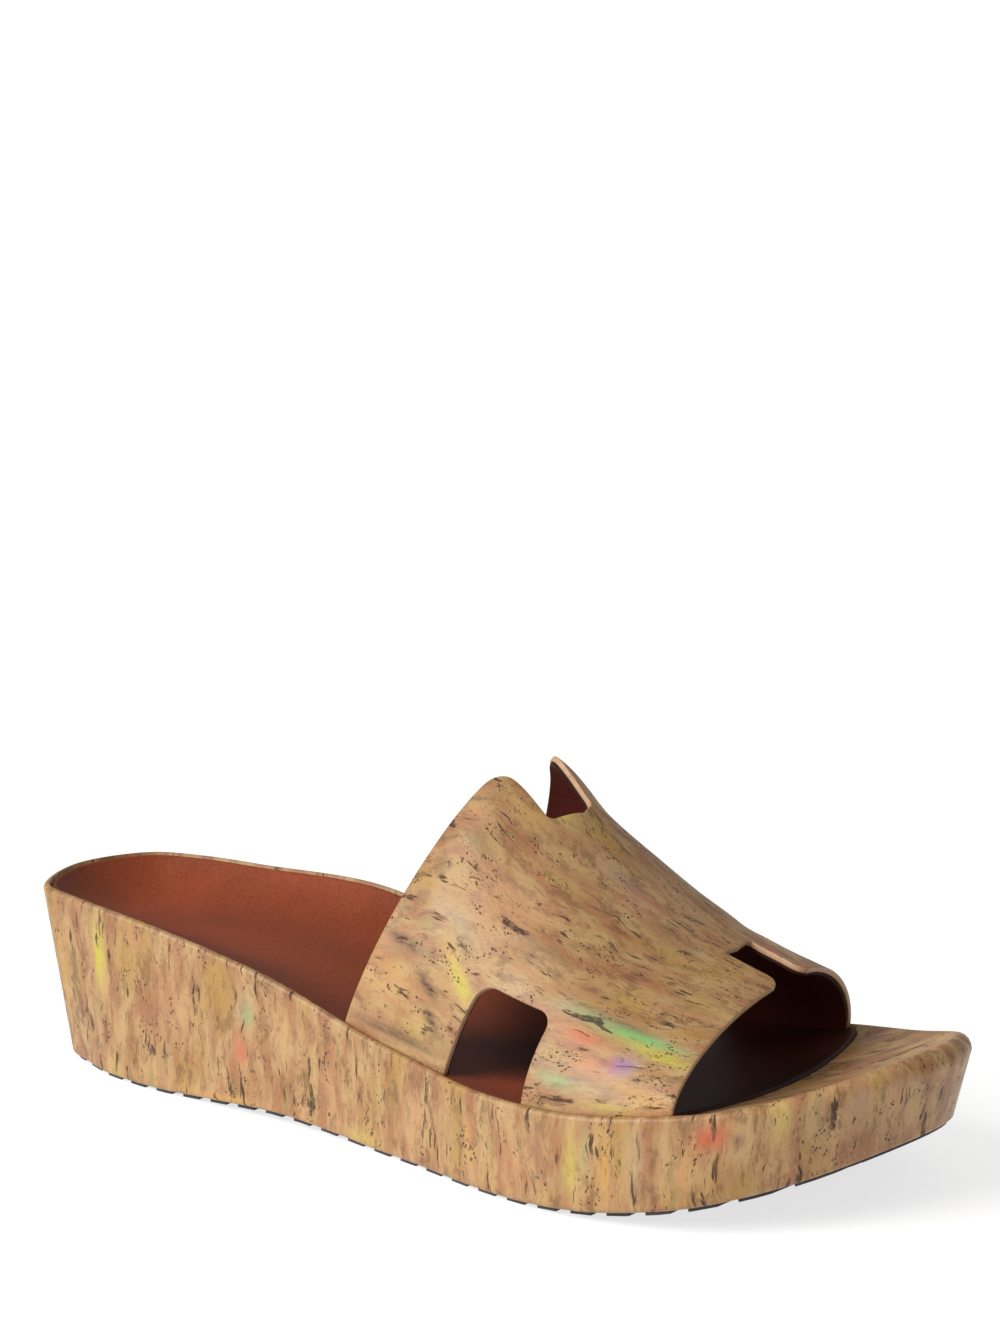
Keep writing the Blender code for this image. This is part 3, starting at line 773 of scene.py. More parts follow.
@dataclass(frozen=True)
class PlainFloor:
    """A pale seamless floor that glows a little, as a light table does, so that shadows stay faint."""

    name: str = "pale_floor"
    base: Colour = srgb(160, 160, 160)
    glow: float = 0.72

    def make(self) -> bpy.types.Material:
        """Builds the material."""
        bench = Bench(self.name)
        bench.surface(Base_Color=self.base, Roughness=0.85, Specular_IOR_Level=0.2)
        bench.surface(Emission_Color=(1.0, 1.0, 1.0, 1.0), Emission_Strength=self.glow)
        return bench.material


def dress(thing: bpy.types.Object, material: bpy.types.Material) -> None:
    """Gives a piece one material."""
    thing.data.materials.clear()
    thing.data.materials.append(material)


def mark_cut_and_shade(thing: bpy.types.Object, share: np.ndarray) -> None:
    """Stores how far each vertex belongs to a cut or turned edge; on the insole the same attribute holds
    painted shade.
    """
    layer = thing.data.attributes.new(name="cut_and_shade", type="FLOAT", domain="POINT")
    layer.data.foreach_set("value", np.asarray(share, dtype=np.float32))


LIME = srgb(176, 168, 44)
MINT = srgb(96, 168, 104)
ROSE = srgb(176, 96, 78)
CORAL = srgb(190, 80, 48)
AMBER = srgb(190, 140, 56)
MAUVE = srgb(128, 106, 150)
MOSS = srgb(120, 112, 60)
ASH = srgb(150, 144, 114)
BARK = srgb(58, 32, 14)

# Strokes on the wall: height over the floor, then the way round from the heel along the outer side
WALL_STROKES = (
    Tint(33, 48, 22, 6.0, 0, LIME, 0.95),
    Tint(18, 46, 12, 4.0, 0, MOSS, 0.7),
    Tint(26, 30, 30, 5.0, 4, AMBER, 0.45),
    Tint(40, 62, 10, 5.0, 0, ROSE, 0.5),
    Tint(26, 100, 11, 7.0, 10, ASH, 0.75),
    Tint(24, 101, 7, 4.0, 0, MINT, 0.7),
    Tint(15, 98, 9, 6.0, 0, CORAL, 0.75),
    Tint(28, 76, 26, 12.0, 5, ROSE, 0.35),
    Tint(12, 70, 10, 9.0, 0, BARK, 0.25),
    Tint(17, 88, 16, 2.2, 4, BARK, 0.55),
    Tint(30, 84, 9, 3.0, -5, BARK, 0.45),
    Tint(24, 112, 16, 5.0, 0, AMBER, 0.4),
    Tint(12, 128, 16, 8.0, 0, ROSE, 0.4),
    Tint(17, 146, 12, 3.0, 0, MINT, 0.35),
    Tint(2, 92, 3, 34.0, 0, AMBER, 0.75),
    Tint(3, 52, 4, 10.0, 0, LIME, 0.6),
    Tint(3, 140, 4, 18.0, 0, LIME, 0.6),
    Tint(3, 118, 4, 16.0, 0, CORAL, 0.35),
    Tint(12, 160, 15, 6.0, 0, CORAL, 0.35),
    Tint(13, 172, 14, 3.4, 3, MOSS, 0.7),
    Tint(12, 180, 14, 3.0, 0, AMBER, 0.6),
    Tint(9, 195, 12, 8.0, 0, CORAL, 0.3),
    Tint(13, 203, 22, 2.6, 2, BARK, 0.65),
    Tint(12, 212, 20, 5.0, 3, LIME, 0.75),
    Tint(12, 221, 22, 4.0, -3, AMBER, 0.8),
    Tint(14, 228, 18, 5.0, 0, ASH, 0.6),
    Tint(16, 216, 16, 2.4, 0, MINT, 0.5),
    Tint(17, 246, 8, 10.0, 0, CORAL, 0.95),
    Tint(15, 252, 5, 4.0, 0, BARK, 0.85),
    Tint(10, 240, 14, 7.0, 0, AMBER, 0.5),
    Tint(18, 262, 14, 5.0, 0, LIME, 0.6),
    Tint(18, 270, 15, 3.0, 4, MOSS, 0.75),
    Tint(16, 280, 14, 5.0, 0, ASH, 0.5),
    Tint(14, 290, 12, 4.0, 0, CORAL, 0.4),
)
# Strokes on the toe part of the top, by their place over the floor; TOE_MAP keeps them off the wall
TOE_MAP = 500.0
TOE_STROKES = (
    Tint(TOE_MAP + 236, 8, 16, 24.0, 20, ROSE, 0.5),
    Tint(TOE_MAP + 240, 20, 20, 10.0, 70, ASH, 0.4),
    Tint(TOE_MAP + 246, -4, 22, 3.0, 100, BARK, 0.6),
    Tint(TOE_MAP + 241, 30, 22, 2.4, 120, BARK, 0.5),
    Tint(TOE_MAP + 250, 10, 20, 4.0, 100, CORAL, 0.45),
)


# How far out from the middle line the rings of the wedge's recess and of its top lie
RECESS_SHARES = (0.0, 0.25, 0.5, 0.75)
TOE_SHARES = (0.985, 0.97, 0.93, 0.87, 0.79, 0.70, 0.60, 0.50, 0.40, 0.30, 0.20, 0.10, 0.0)


@dataclass
class Wedge:
    """The cork-wrapped wedge, with its rounded rim and the open toe part of its top."""

    last: Last
    stations: int = 190
    wall_rows: int = 18
    arc_rows: int = 6
    thickness: float = 3.4 * MM
    setback: float = 1.6 * MM
    shows: float = 0.9 * MM
    top_radius: float = 1.2 * MM
    toe_round: float = 2.6 * MM
    bottom_radius: float = 1.4 * MM
    tray: float = 4.1 * MM
    tray_front: float = 212.5 * MM
    toe_dip: float = 1.2 * MM
    tray_ramp: tuple[float, float] = (9.0 * MM, 2.0 * MM)
    dip_width: float = 9.0 * MM
    lip_width: float = 0.02 * MM
    top_lift: float = 2.0
    top_grain: float = 40.0

    def build(self) -> bpy.types.Object:
        """Lofts the wrap from the recess under it, up the wall and over the rim."""
        ring = Ring(self.last, self.stations)
        gap = self.last.gap
        recess = ring.inset(ring.lean + self.setback - gap, ring.ground + self.thickness + gap)
        rings = [ring.level(recess, share, self.thickness + gap) for share in RECESS_SHARES]
        rings.append(recess)
        rings.append(ring.inset(ring.lean + self.setback - gap, ring.ground + self.shows))
        for turn in np.linspace(-math.pi / 2, 0.0, self.arc_rows):
            away = ring.lean + self.bottom_radius * (1 - math.cos(turn))
            rise = self.shows + self.bottom_radius * (1 + math.sin(turn))
            rings.append(ring.inset(away, ring.ground + rise))
        low = ring.ground + self.shows + self.bottom_radius
        top = self.top_radius + self.toe_round * np.clip(ring.lean / self.last.toe_tuck, 0, 1) * (
            ring.x > self.last.length / 2)
        high = ring.rim - top
        for share in np.linspace(0.0, 1.0, self.wall_rows)[1:-1]:
            rings.append(ring.inset(ring.lean * (1 - share), low + (high - low) * share))
        for turn in np.linspace(0.0, math.pi / 2, self.arc_rows):
            rings.append(ring.inset(top * (1 - math.cos(turn)), ring.rim - top * (1 - math.sin(turn))))
        edge_at = len(rings) - 1
        edge = rings[-1]
        lip = ring.inset(self.last.rim_width, ring.rim)
        behind = ring.x < self.tray_front
        lip_foot = ring.inset(self.last.rim_width + self.lip_width, ring.rim - self.tray)
        for wall, share in zip((lip, lip_foot), TOE_SHARES):
            rings.append(np.where(behind[:, None], wall, ring.footbed(edge, share)))
        for share in TOE_SHARES[2:]:
            rings.append(self.sunk(ring.footbed(edge, share)))
        rings = [self.last.to_row(points) for points in rings]
        tube = Tube("wedge_wrap", rings[0])
        for points in rings[1:]:
            tube.extrude(points)
        thing = tube.finish(PrintMap(rings, self.top_grain, edge_at))
        self.colour(thing, ring)
        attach(thing, "root")
        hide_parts("wedge")
        return thing

    def sunk(self, ring: np.ndarray) -> np.ndarray:
        """Lowers a ring's points where the insole lies over them."""
        centre = np.array([self.last.arc_front - self.last.arc_radius, 0.0])
        away = np.linalg.norm(ring[:, :2] - centre, axis=1)
        away = np.where(ring[:, 0] < centre[0], 0.0, away)
        low, high = (self.last.arc_radius - ramp for ramp in self.tray_ramp)
        under = 1.0 - eased(low, high, away)
        dip = 1.0 - eased(self.last.arc_radius, self.last.arc_radius + self.dip_width, away)
        fall = np.maximum(under * self.tray, dip * self.toe_dip)
        return ring - np.column_stack([np.zeros((len(ring), 2)), fall])

    def colour(self, thing: bpy.types.Object, ring: Ring) -> None:
        """Paints the strokes of the wall and of the toe part of the top; nothing here is a cut edge."""
        points = read_points(thing) + self.last.middle
        plan = points[:, :2]
        nearest = np.zeros(len(points), dtype=int)
        for part in chunks(len(points)):
            away = plan[part, None, :] - ring.edge[None, :, :]
            nearest[part] = np.argmin((away**2).sum(axis=2), axis=1)
        around = ring.run[nearest] / MM
        height = (points[:, 2] - ring.ground[nearest]) / MM
        inside = ((plan - ring.edge[nearest]) * ring.inward[nearest]).sum(axis=1)
        top = height > self.thickness / MM + self.top_lift
        top &= inside > ring.lean[nearest] + self.top_radius
        places = np.column_stack([height, around])
        places[top] = plan[top] / MM + np.array([TOE_MAP, 0.0])
        paint(thing, WALL_STROKES + TOE_STROKES, places)
        mark_cut_and_shade(thing, np.zeros(len(points)))


# How far out from the middle line the rings of the insole's under side and of its top lie
UNDER_SHARES = (0.0, 0.3, 0.6, 0.85, 1.0)
TOP_SHARES = (0.985, 0.96, 0.93, 0.89, 0.84, 0.78, 0.71, 0.63, 0.54, 0.45, 0.36, 0.27, 0.18, 0.09, 0.0)


@dataclass
class Footbed:
    """The leather insole, which lies in the wedge's rim and ends in an arc behind the toes; its colour
    carries painted shade.
    """

    last: Last
    thickness: float = 3.4 * MM
    drop: float = 0.4 * MM
    edge_radius: float = 1.0 * MM
    around: int = 320
    arc_rows: int = 5
    # Painted shade on the insole: darker towards its front arc, along its outer edge, and in a slanting zone
    # under the band's inner rear
    toe_shade_from: float = 190.0 * MM
    edge_shade: float = 0.3
    edge_shade_across: tuple[float, float] = (2.0 * MM, 16.0 * MM)
    band_shadow_slant: tuple[float, float] = (97.0 * MM, 122.0 * MM)
    band_shadow: float = 0.88
    slant: tuple[float, float] = (0.8, 0.6)
    fine_stations: int = 400
    home_end: float = 203.0 * MM
    arc_steps: int = 200
    finer: int = 4
    softening: int = 60
    band_shadow_across: tuple[float, float] = (12.0 * MM, 30.0 * MM)

    def border(self) -> np.ndarray:
        """Returns the insole's outline in plan, evenly stepped and with soft corners."""
        ring = Ring(self.last, self.fine_stations)
        edge = ring.inset(self.last.rim_width + self.last.gap, 0.0)[:, :2]
        centre = np.array([self.last.arc_front - self.last.arc_radius, 0.0])
        inside = np.linalg.norm(edge - centre, axis=1) <= self.last.arc_radius
        inside |= edge[:, 0] < centre[0]
        first = int(np.argmin(inside))
        kept = np.roll(edge, -first, axis=0)[np.roll(inside, -first)]
        start, end = kept[-1] - centre, kept[0] - centre
        first_turn, last_turn = math.atan2(start[1], start[0]), math.atan2(end[1], end[0])
        turns = np.linspace(first_turn, last_turn, self.arc_steps)[1:-1]
        arc = centre + self.last.arc_radius * np.column_stack([np.cos(turns), np.sin(turns)])
        closed = np.vstack([kept, arc])
        steps = np.linalg.norm(np.roll(closed, -1, axis=0) - closed, axis=1)
        run = np.concatenate([[0.0], np.cumsum(steps)])
        looped = np.vstack([closed, closed[:1]])
        fine = np.linspace(0.0, run[-1], self.around * self.finer, endpoint=False)
        drawn = np.column_stack([np.interp(fine, run, looped[:, axis]) for axis in (0, 1)])
        for _ in range(self.softening):
            drawn = drawn * 0.5 + (np.roll(drawn, 1, axis=0) + np.roll(drawn, -1, axis=0)) * 0.25
        return drawn[:: self.finer]

    def build(self) -> bpy.types.Object:
        """Lofts the insole: under side, soft edge and hollow top."""
        edge = Ring(self.last, self.fine_stations)
        border = self.border()
        tangent = np.roll(border, -1, axis=0) - np.roll(border, 1, axis=0)
        tangent /= np.linalg.norm(tangent, axis=1)[:, None]
        inward = np.column_stack([-tangent[:, 1], tangent[:, 0]])
        if ((border.mean(axis=0) - border) * inward).sum() < 0:
            inward = -inward
        home = self.last.spine(np.minimum(border[:, 0], self.home_end))
        inset = self.last.rim_width + self.last.gap + self.edge_radius

        def laid(plan: np.ndarray, drop: float) -> np.ndarray:
            """Lays plan points on the footbed, a drop below it."""
            return np.column_stack([plan, self.last.hollow(plan, edge, inset) - drop])

        def drawn_in(share: float, depth: float) -> np.ndarray:
            """Returns the border inside its soft edge, drawn in to the middle line."""
            soft = border + inward * depth
            return home + (soft - home) * share

        under = self.drop + self.thickness
        rings = [laid(drawn_in(share, 0.0), under) for share in UNDER_SHARES]
        for turn in np.linspace(0.0, math.pi / 2, self.arc_rows):
            away = self.edge_radius * (1 - math.cos(turn))
            fall = self.edge_radius * (1 - math.sin(turn))
            rings.append(laid(border + inward * away, self.drop + fall))
        for share in TOP_SHARES:
            rings.append(laid(drawn_in(share, self.edge_radius), self.drop))
        rings = [self.last.to_row(points) for points in rings]
        tube = Tube("insole_leather", rings[0])
        for points in rings[1:]:
            tube.extrude(points)
        thing = tube.finish(PrintMap(rings, 0.0, 0))
        points = read_points(thing) + self.last.middle
        # Painted shade, stored per vertex: a slanting band shadow under the band, a darkening towards the
        # front arc in the band's mouth, and a darker strip along the outer edge
        near_edge = points[:, 1] - self.last.side(points[:, 0], np.array(False))
        slant = points[:, :2] @ np.array(self.slant)
        band_shadow = eased(*self.band_shadow_slant, slant) * self.band_shadow
        shade = band_shadow * eased(*self.band_shadow_across, near_edge)
        shade = np.maximum(shade, eased(self.toe_shade_from, self.last.arc_front, points[:, 0]))
        shade = np.maximum(shade, (1.0 - eased(*self.edge_shade_across, near_edge)) * self.edge_shade)
        mark_cut_and_shade(thing, shade)
        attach(thing, "root")
        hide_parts("insole")
        return thing


class Layer(Enum):
    """The two layers of the band, with their depths under its face."""

    SKIN = (0.0, 1.45, 0.0)
    LINING = (1.5, 2.3, 0.5)


# Strokes on the band: along it from its rear edge, then across from the crest, the outer side below 0
BAND_STROKES = (
    Tint(27, -36, 30, 18, -4, ROSE, 0.50),
    Tint(40, -30, 20, 9, 0, ROSE, 0.40),
    Tint(20, -44, 24, 6, -8, ASH, 0.55),
    Tint(31, -55, 20, 5.0, -24, LIME, 0.95),
    Tint(24, -50, 18, 5.0, -18, AMBER, 0.55),
    Tint(26, -48, 14, 4.0, -14, MINT, 0.35),
    Tint(15, -6, 16, 8.0, 0, LIME, 0.95),
    Tint(16, -14, 16, 8.0, 10, AMBER, 0.60),
    Tint(6, -22, 10, 5.0, 0, CORAL, 0.45),
    Tint(10, -62, 26, 14, 0, AMBER, 0.45),
    Tint(22, -70, 16, 8.0, 0, LIME, 0.45),
    Tint(4, -56, 8, 12.0, 0, ROSE, 0.45),
    Tint(66, -49, 30, 7.0, -6, ASH, 0.80),
    Tint(71, -55, 18, 6.0, -4, CORAL, 0.80),
    Tint(84, -51.5, 30, 6.0, -8, MINT, 1.0),
    Tint(91, -56, 26, 5.0, -14, LIME, 0.90),
    Tint(78, -48, 28, 2.4, -6, BARK, 0.75),
    Tint(84, -61, 9, 8.0, 0, MAUVE, 1.0),
    Tint(77, -62, 14, 7.0, 0, CORAL, 0.55),
    Tint(91, -69, 22, 5.0, -20, AMBER, 0.95),
    Tint(70, -68, 16, 5.0, -8, MINT, 0.70),
    Tint(78, -67, 30, 2.6, -10, BARK, 0.65),
    Tint(86, -73, 24, 4.0, -8, LIME, 0.65),
    Tint(94, -75, 10, 6.0, 0, CORAL, 0.50),
    Tint(92, -33, 18, 9.0, -12, LIME, 0.45),
    Tint(86, -36, 14, 2.6, -5, BARK, 0.60),
    Tint(9, -53, 22, 3.6, -12, BARK, 1.0),
    Tint(22, -60, 16, 3.4, -20, BARK, 1.0),
    Tint(27, -66, 12, 3.2, -20, BARK, 1.0),
    Tint(40, -38, 22, 2.4, -6, BARK, 0.70),
    Tint(46, -42, 10, 3.2, -10, BARK, 0.75),
    Tint(52, -46, 18, 6.0, -6, AMBER, 0.50),
    Tint(17, -72.4, 44, 3.6, 0, BARK, 0.90),
    Tint(55, -12, 20, 11.0, 0, ROSE, 0.45),
    Tint(72, -16, 22, 9.0, 0, MOSS, 0.45),
    Tint(45, -8, 20, 7.0, 0, MAUVE, 0.35),
    Tint(60, 2, 24, 8.0, 0, ASH, 0.35),
    Tint(34, -18, 20, 3.0, -6, BARK, 0.50),
    Tint(30, 34, 22, 6.0, 0, LIME, 0.45),
    Tint(62, 40, 18, 5.0, 0, CORAL, 0.45),
    Tint(80, 55, 20, 4.0, 0, MINT, 0.60),
    Tint(18, 60, 14, 5.0, 0, AMBER, 0.45),
)


@dataclass(frozen=True)
class Crease:
    """A soft trough of the band, or a ridge where its depth is negative, in millimetres on the blank."""

    along: float
    across: float
    long: float
    wide: float
    turn: float
    depth: float

    def sink(self, flat: np.ndarray) -> np.ndarray:
        """Returns how far the crease sinks each point of the blank, in metres."""
        turn = math.radians(self.turn)
        away = flat[:, :2] / MM - np.array([self.along, self.across])
        run = (away[:, 0] * math.cos(turn) + away[:, 1] * math.sin(turn)) / self.long * 2
        over = (away[:, 1] * math.cos(turn) - away[:, 0] * math.sin(turn)) / self.wide * 2
        return self.depth * MM * np.exp(-(run**2) - over**2)


# The band's own soft creases: where the forefoot bends it, and where it was drawn over the last
CREASES = (
    Crease(63, -30, 60, 9, 62, 0.45),
    Crease(55, -28, 60, 10, 62, -0.35),
    Crease(72, 28, 50, 9, -58, 0.40),
    Crease(20, -40, 50, 14, 78, 0.35),
    Crease(30, -62, 26, 12, 20, -0.30),
    Crease(48, 0, 70, 22, 0, 0.30),
    Crease(16, 44, 46, 12, -80, 0.35),
)


@dataclass
class Band:
    """The notched band: a die-cut blank of cork fabric and lining, bent over the last."""

    last: Last
    tuck: float = 2.6 * MM
    rear_foot: tuple[float, float] = (115.5 * MM, 117.0 * MM)
    rear_crest: float = 143.0 * MM
    front_foot: tuple[float, float] = (218.0 * MM, 211.0 * MM)
    front_crest: float = 218.5 * MM
    long: float = 100.0 * MM
    half: float = 78.0 * MM
    notch: float = 16.5 * MM
    notch_shift: tuple[float, float] = (-1.8 * MM, 1.8 * MM)
    crest_drift: float = 3.6 * MM
    rear_notch: float = 19.5 * MM
    front_notch: float = 20.0 * MM
    window_start: float = 35.0 * MM
    window_width: float = 26.0 * MM
    window_lean: float = 3.0 * MM
    window_height: float = 25.8 * MM
    window_radius: float = 4.5 * MM
    tab_radius: float = 5.0 * MM
    far_tab_radius: float = 9.0 * MM
    root_radius: float = 1.8 * MM
    foot_radius: float = 0.8 * MM
    edge_radius: float = 0.35 * MM
    strip: float = 1.3 * MM
    cut_width: float = 0.02 * MM
    cut_share: float = 0.6
    cut_depths: tuple[float, float] = (0.70, 0.98)
    bend_step: float = 0.5 * MM
    turn_steps: int = 241
    flat_angle: float = 0.5
    drift_ends: tuple[float, float] = (0.55, 0.66)

    def face(self, along: np.ndarray, across: np.ndarray) -> np.ndarray:
        """Returns the places on the band's face of points of the flat blank."""
        last = self.last
        share = across / self.half
        inner = share > 0
        reach = np.maximum(1 - np.abs(share), 0.0)
        rear_foot = np.where(inner, self.rear_foot[1], self.rear_foot[0])
        front_foot = np.where(inner, self.front_foot[1], self.front_foot[0])
        rear = rear_foot + (self.rear_crest - rear_foot) * reach
        front = front_foot + (self.front_crest - front_foot) * reach
        x = rear + (front - rear) * along / self.long
        place = x / last.length
        foot_y = last.side(x, inner) + np.where(inner, -1.0, 1.0) * (last.rim_width + last.gap)
        foot_z = last.rim(x, inner.astype(float))
        crest_z = last.rim(x, np.array(0.0)) + last.instep * curve_through(INSTEP, 1, place)
        full = np.where(inner, curve_through(INSTEP, 3, place), curve_through(INSTEP, 2, place))
        turn = np.linspace(0.0, math.pi / 2, self.turn_steps)[None, :]
        power = (2.0 / full)[:, None]
        crest_y = last.crest_shift + self.crest_drift * (1 - eased(*self.drift_ends, place))
        y = crest_y[:, None] + (foot_y - crest_y)[:, None] * np.sin(turn) ** power
        z = foot_z[:, None] + (crest_z - foot_z)[:, None] * np.abs(np.cos(turn)) ** power
        y = np.hstack([y, foot_y[:, None]])
        z = np.hstack([z, (foot_z - self.tuck)[:, None]])
        run = np.hstack([np.zeros((len(x), 1)), np.cumsum(np.hypot(np.diff(y), np.diff(z)), axis=1)])
        wanted = np.abs(share) * run[:, -1]
        below = np.maximum(wanted - run[:, -1], 0.0)
        at = np.clip((run < wanted[:, None]).sum(axis=1), 1, run.shape[1] - 1)
        row = np.arange(len(x))
        part = (wanted - run[row, at - 1]) / np.maximum(run[row, at] - run[row, at - 1], 1e-12)
        part = np.clip(part, 0.0, 1.0)
        there_y = y[row, at - 1] + (y[row, at] - y[row, at - 1]) * part
        there_z = z[row, at - 1] + (z[row, at] - z[row, at - 1]) * part
        return np.column_stack([x, there_y, there_z - below])

    def lasted(self, flat: np.ndarray) -> np.ndarray:
        """Bends points of the flat slab (along, across, depth) over the last."""
        step = self.bend_step
        bent = np.zeros_like(flat)
        for part in chunks(len(flat)):
            along, across, depth = flat[part].T
            here = self.face(along, across)
            forward = self.face(along + step, across) - self.face(along - step, across)
            sideways = self.face(along, across + step) - self.face(along, across - step)
            normal = np.cross(forward, sideways)
            normal /= np.linalg.norm(normal, axis=1)[:, None]
            bent[part] = here - normal * depth[:, None]
        return bent

    def corners(self) -> list[tuple[float, float, float]]:
        """Returns the blank's corners, anticlockwise, as (along, across, radius)."""
        top = self.half - self.window_height
        end = self.window_start + self.window_width
        halves = []
        for side in (-1, 1):
            rear, front = (shift + side * self.notch / 2 for shift in self.notch_shift)
            halves.append([
                (self.rear_notch, rear, self.root_radius),
                (0.0, rear, self.tab_radius if side < 0 else self.far_tab_radius),
                (0.0, side * self.half, self.foot_radius),
                (self.window_start, side * self.half, self.foot_radius),
                (self.window_start + self.window_lean, side * top, self.window_radius),
                (end, side * top, self.window_radius),
                (end, side * self.half, self.foot_radius),
                (self.long, side * self.half, self.foot_radius),
                (self.long, front, self.tab_radius),
                (self.long - self.front_notch, front, self.root_radius),
            ])
        return halves[0] + halves[1][::-1]

    def outline(self, inset: float, steps: int = 9) -> list[np.ndarray]:
        """Returns the blank's outline, moved in by a distance, with its corners rounded."""
        corners = self.corners()
        count = len(corners)
        moved = []
        for k in range(count):
            before, here, after = (np.array(corners[(k + shift) % count][:2]) for shift in (-1, 0, 1))
            first = (here - before) / np.linalg.norm(here - before)
            second = (after - here) / np.linalg.norm(after - here)
            moved.append(here - np.array([first[1] + second[1], -first[0] - second[0]]) * inset)
        drawn = []
        for k in range(count):
            before, here, after = (moved[(k + shift) % count] for shift in (-1, 0, 1))
            first = (before - here) / np.linalg.norm(before - here)
            second = (after - here) / np.linalg.norm(after - here)
            radius = corners[k][2]
            centre = here + (first + second) * radius
            for turn in np.linspace(0.0, math.pi / 2, steps):
                drawn.append(centre - second * radius * math.cos(turn) - first * radius * math.sin(turn))
        return drawn

    def slab(self, name: str, thick: float, inset: float) -> bpy.types.Object:
        """Cuts the flat blank out of sheet, rounds its edges and cuts it into strips that can bend.

        Args:
            name: the piece's name.
            thick: the sheet's thickness.
            inset: how far its outline lies inside the blank's.

        Returns:
            The flat piece, centred on its middle plane.
        """
        bpy.ops.object.select_all(action="DESELECT")
        curve = bpy.data.curves.new(name, "CURVE")
        curve.dimensions = "2D"
        curve.fill_mode = "BOTH"
        curve.bevel_depth = self.edge_radius
        curve.bevel_resolution = 2
        curve.extrude = thick / 2 - self.edge_radius
        curve.offset = -self.edge_radius
        spline = curve.splines.new("POLY")
        outline = self.outline(inset)
        spline.points.add(len(outline) - 1)
        for point, (along, across) in zip(spline.points, outline):
            point.co = (along, across, 0.0, 1.0)
        spline.use_cyclic_u = True
        thing = bpy.data.objects.new(name, curve)
        bpy.context.scene.collection.objects.link(thing)
        hold(thing)
        bpy.ops.object.convert(target="MESH")
        thing = bpy.context.object
        thing.name = name
        thing.data.name = name
        cuts = [((a, 0.0, 0.0), (1.0, 0.0, 0.0)) for a in np.arange(self.strip, self.long, self.strip)]
        cuts += [((0.0, a, 0.0), (0.0, 1.0, 0.0))
                 for a in np.arange(-self.half + self.strip, self.half, self.strip)]
        with all_selected(thing):
            bpy.ops.mesh.remove_doubles(threshold=MERGE)
            bpy.ops.mesh.dissolve_limited(angle_limit=math.radians(self.flat_angle))
            for place, normal in cuts:
                bpy.ops.mesh.select_all(action="SELECT")
                bpy.ops.mesh.bisect(plane_co=place, plane_no=normal, threshold=MERGE)
            bpy.ops.mesh.select_all(action="SELECT")
            bpy.ops.mesh.quads_convert_to_tris()
        return thing

    @staticmethod
    def from_outline(points: np.ndarray, outline: np.ndarray) -> np.ndarray:
        """Returns how far flat points lie from a closed outline."""
        first = outline[None, :, :]
        ray = np.roll(outline, -1, axis=0)[None, :, :] - first
        square = np.maximum((ray**2).sum(axis=2), 1e-12)
        away = np.zeros(len(points))
        for part in chunks(len(points)):
            from_first = points[part, None, :] - first
            share = np.clip((from_first * ray).sum(axis=2) / square, 0, 1)
            away[part] = np.linalg.norm(from_first - ray * share[..., None], axis=2).min(axis=1)
        return away

    def layer(self, name: str, layer: Layer) -> bpy.types.Object:
        """Builds one layer of the band."""
        low, high, inset = (value * MM for value in layer.value)
        thing = self.slab(name, high - low, inset)
        flat = read_points(thing)
        half = (high - low) / 2
        centre = flat * np.array([1.0, 1.0, -1.0]) + np.array([0.0, 0.0, (low + high) / 2])
        centre[:, 2] += sum(crease.sink(flat) for crease in CREASES)
        edge = 1.0 - eased(*self.cut_depths, np.abs(flat[:, 2]) / half)
        away = self.from_outline(flat[:, :2], np.array(self.outline(inset)))
        rim = 1.0 - eased(self.cut_width, self.edge_radius, away)
        mark_cut_and_shade(thing, np.maximum(edge * (away < self.edge_radius), rim * self.cut_share))
        layer_map = thing.data.uv_layers.new(name="print")
        corner = np.zeros(len(thing.data.loops), dtype=np.int32)
        thing.data.loops.foreach_get("vertex_index", corner)
        layer_map.data.foreach_set("uv", flat[corner][:, :2].ravel())
        paint(thing, BAND_STROKES if layer is Layer.SKIN else (), flat[:, :2] / MM)
        write_points(thing, self.last.to_row(self.lasted(centre)))
        with all_selected(thing):
            bpy.ops.mesh.normals_make_consistent(inside=False)
        bpy.ops.object.shade_smooth()
        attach(thing, "root")
        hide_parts("upper")
        return thing


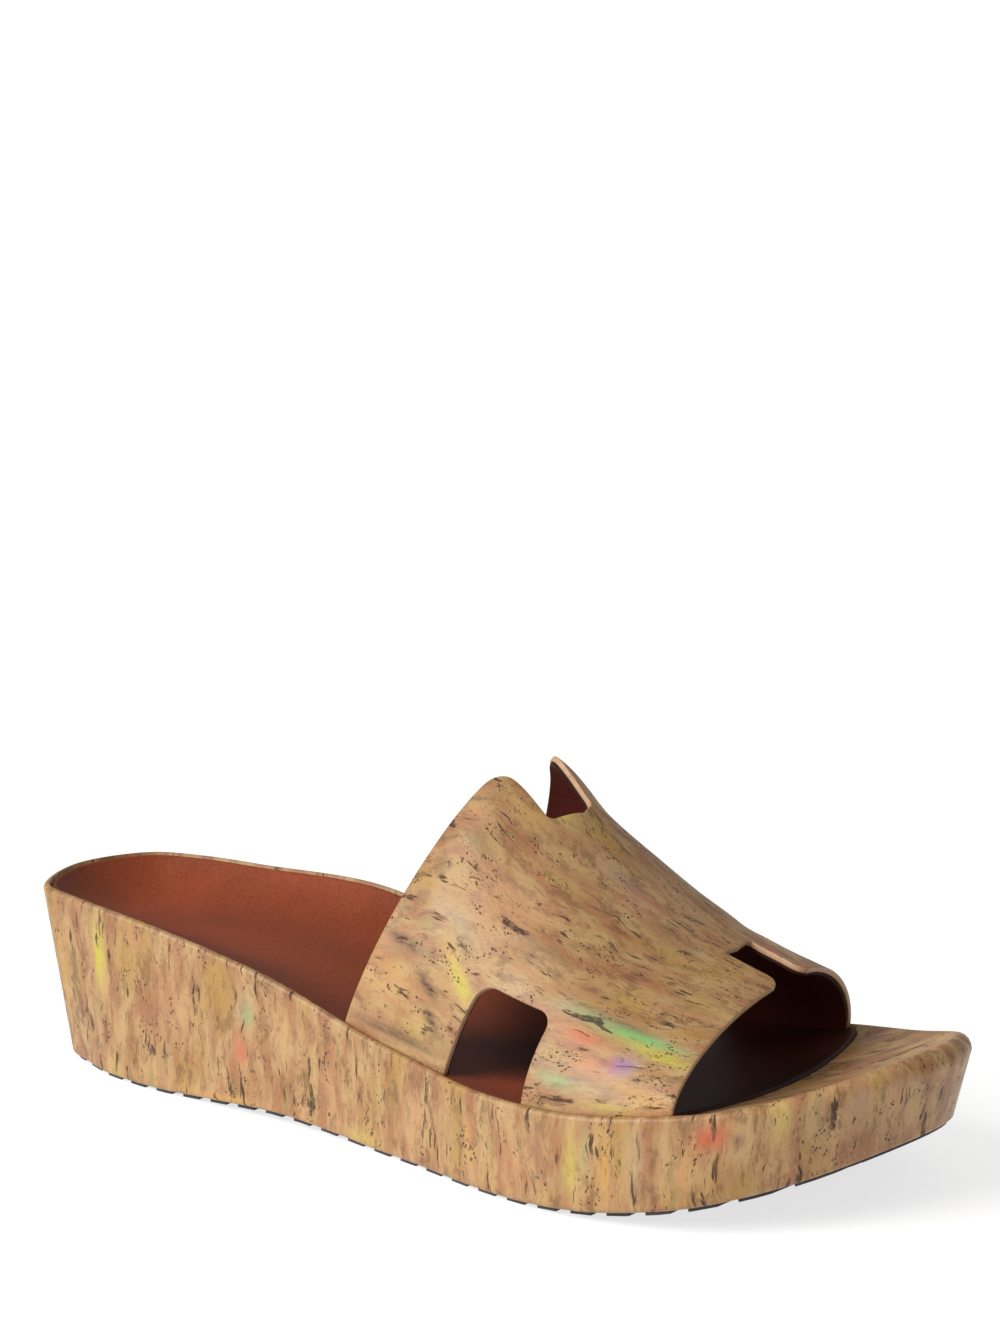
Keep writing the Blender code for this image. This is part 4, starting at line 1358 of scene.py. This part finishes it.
@dataclass
class Studio:
    """The floor, the lights and the camera."""

    floor_size: float = 400.0
    sky: float = 0.38
    sun: float = 3.8
    sun_width: float = 45.0
    sun_from: tuple[float, float, float] = (-0.45, -0.85, 0.66)
    camera_at: tuple[float, float, float] = (0.5678, -0.7376, 0.2987)
    yaw: float = 127.092
    pitch: float = -11.256
    roll: float = -0.718
    lens: float = 106.52
    film_width: float = 36.0
    sun_colour: tuple[float, float, float] = (1.0, 0.985, 0.96)

    def lay_floor(self) -> None:
        """Lays the floor, which isn't part of the sandal."""
        bpy.ops.object.select_all(action="DESELECT")
        bpy.ops.mesh.primitive_plane_add(size=self.floor_size)
        floor = bpy.context.object
        floor.name = "floor"
        dress(floor, PlainFloor().make())

    def set_camera(self) -> None:
        """Sets the camera at the photograph's angle."""
        data = bpy.data.cameras.new("camera")
        data.lens = self.lens
        data.sensor_width = self.film_width
        data.clip_start = 0.01
        camera = bpy.data.objects.new("camera", data)
        bpy.context.scene.collection.objects.link(camera)
        yaw, pitch, roll = (math.radians(value) for value in (self.yaw, self.pitch, self.roll))
        ahead = Vector((math.cos(pitch) * math.cos(yaw), math.cos(pitch) * math.sin(yaw), math.sin(pitch)))
        right = ahead.cross(Vector((0.0, 0.0, 1.0))).normalized()
        up = right.cross(ahead)
        level_right = right * math.cos(roll) + up * math.sin(roll)
        level_up = up * math.cos(roll) - right * math.sin(roll)
        turn = Matrix((level_right, level_up, -ahead)).transposed()
        camera.matrix_world = Matrix.Translation(self.camera_at) @ turn.to_4x4()
        bpy.context.scene.camera = camera

    def light(self) -> None:
        """Hangs the soft sun and sets a pale sky."""
        world = bpy.data.worlds.new("pale_sky")
        bpy.context.scene.world = world
        world.use_nodes = True
        sky = world.node_tree.nodes["Background"]
        sky.inputs[0].default_value = (1.0, 1.0, 1.0, 1.0)
        sky.inputs[1].default_value = self.sky
        sun = bpy.data.lights.new("sun", "SUN")
        sun.energy = self.sun
        sun.angle = math.radians(self.sun_width)
        sun.color = self.sun_colour
        thing = bpy.data.objects.new("sun", sun)
        bpy.context.scene.collection.objects.link(thing)
        thing.rotation_euler = (-Vector(self.sun_from)).to_track_quat("-Z", "Y").to_euler()
        view = bpy.context.scene.view_settings
        view.view_transform = "Standard"
        view.look = "None"


def main() -> None:
    """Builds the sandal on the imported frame, piece by piece."""
    logging.basicConfig(level=logging.INFO, format="%(name)s: %(message)s")
    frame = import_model()
    last = Last()
    studio = Studio()
    studio.set_camera()
    studio.lay_floor()
    studio.light()

    wedge = Wedge(last).build()
    dress(wedge, CorkPrint("wedge_cork_print").make())
    LOG.info("%s: %d faces", wedge.name, len(wedge.data.polygons))

    insole = Footbed(last).build()
    # The insole's deep colour darkens its pores and is the colour of the painted shade stored on it
    leather = SmoothLeather("insole_leather", srgb(126, 56, 28), srgb(140, 63, 32), srgb(40, 13, 7))
    dress(insole, leather.make())
    LOG.info("%s: %d faces", insole.name, len(insole.data.polygons))

    band = Band(last)
    skin = band.layer("band_cork_face", Layer.SKIN)
    dress(skin, CorkPrint("band_cork_print", light=srgb(166, 134, 88)).make())
    lining = band.layer("band_lining", Layer.LINING)
    leather = SmoothLeather("band_lining", srgb(70, 15, 5), srgb(82, 20, 8), srgb(36, 9, 4), 0.7)
    dress(lining, leather.make())
    LOG.info("band: %d and %d faces", len(skin.data.polygons), len(lining.data.polygons))

    rubber = MouldedRubber("outsole_rubber").make()
    for slot in frame["nodes"]["outsole"].material_slots:
        slot.material = rubber


if __name__ == "__main__":
    main()
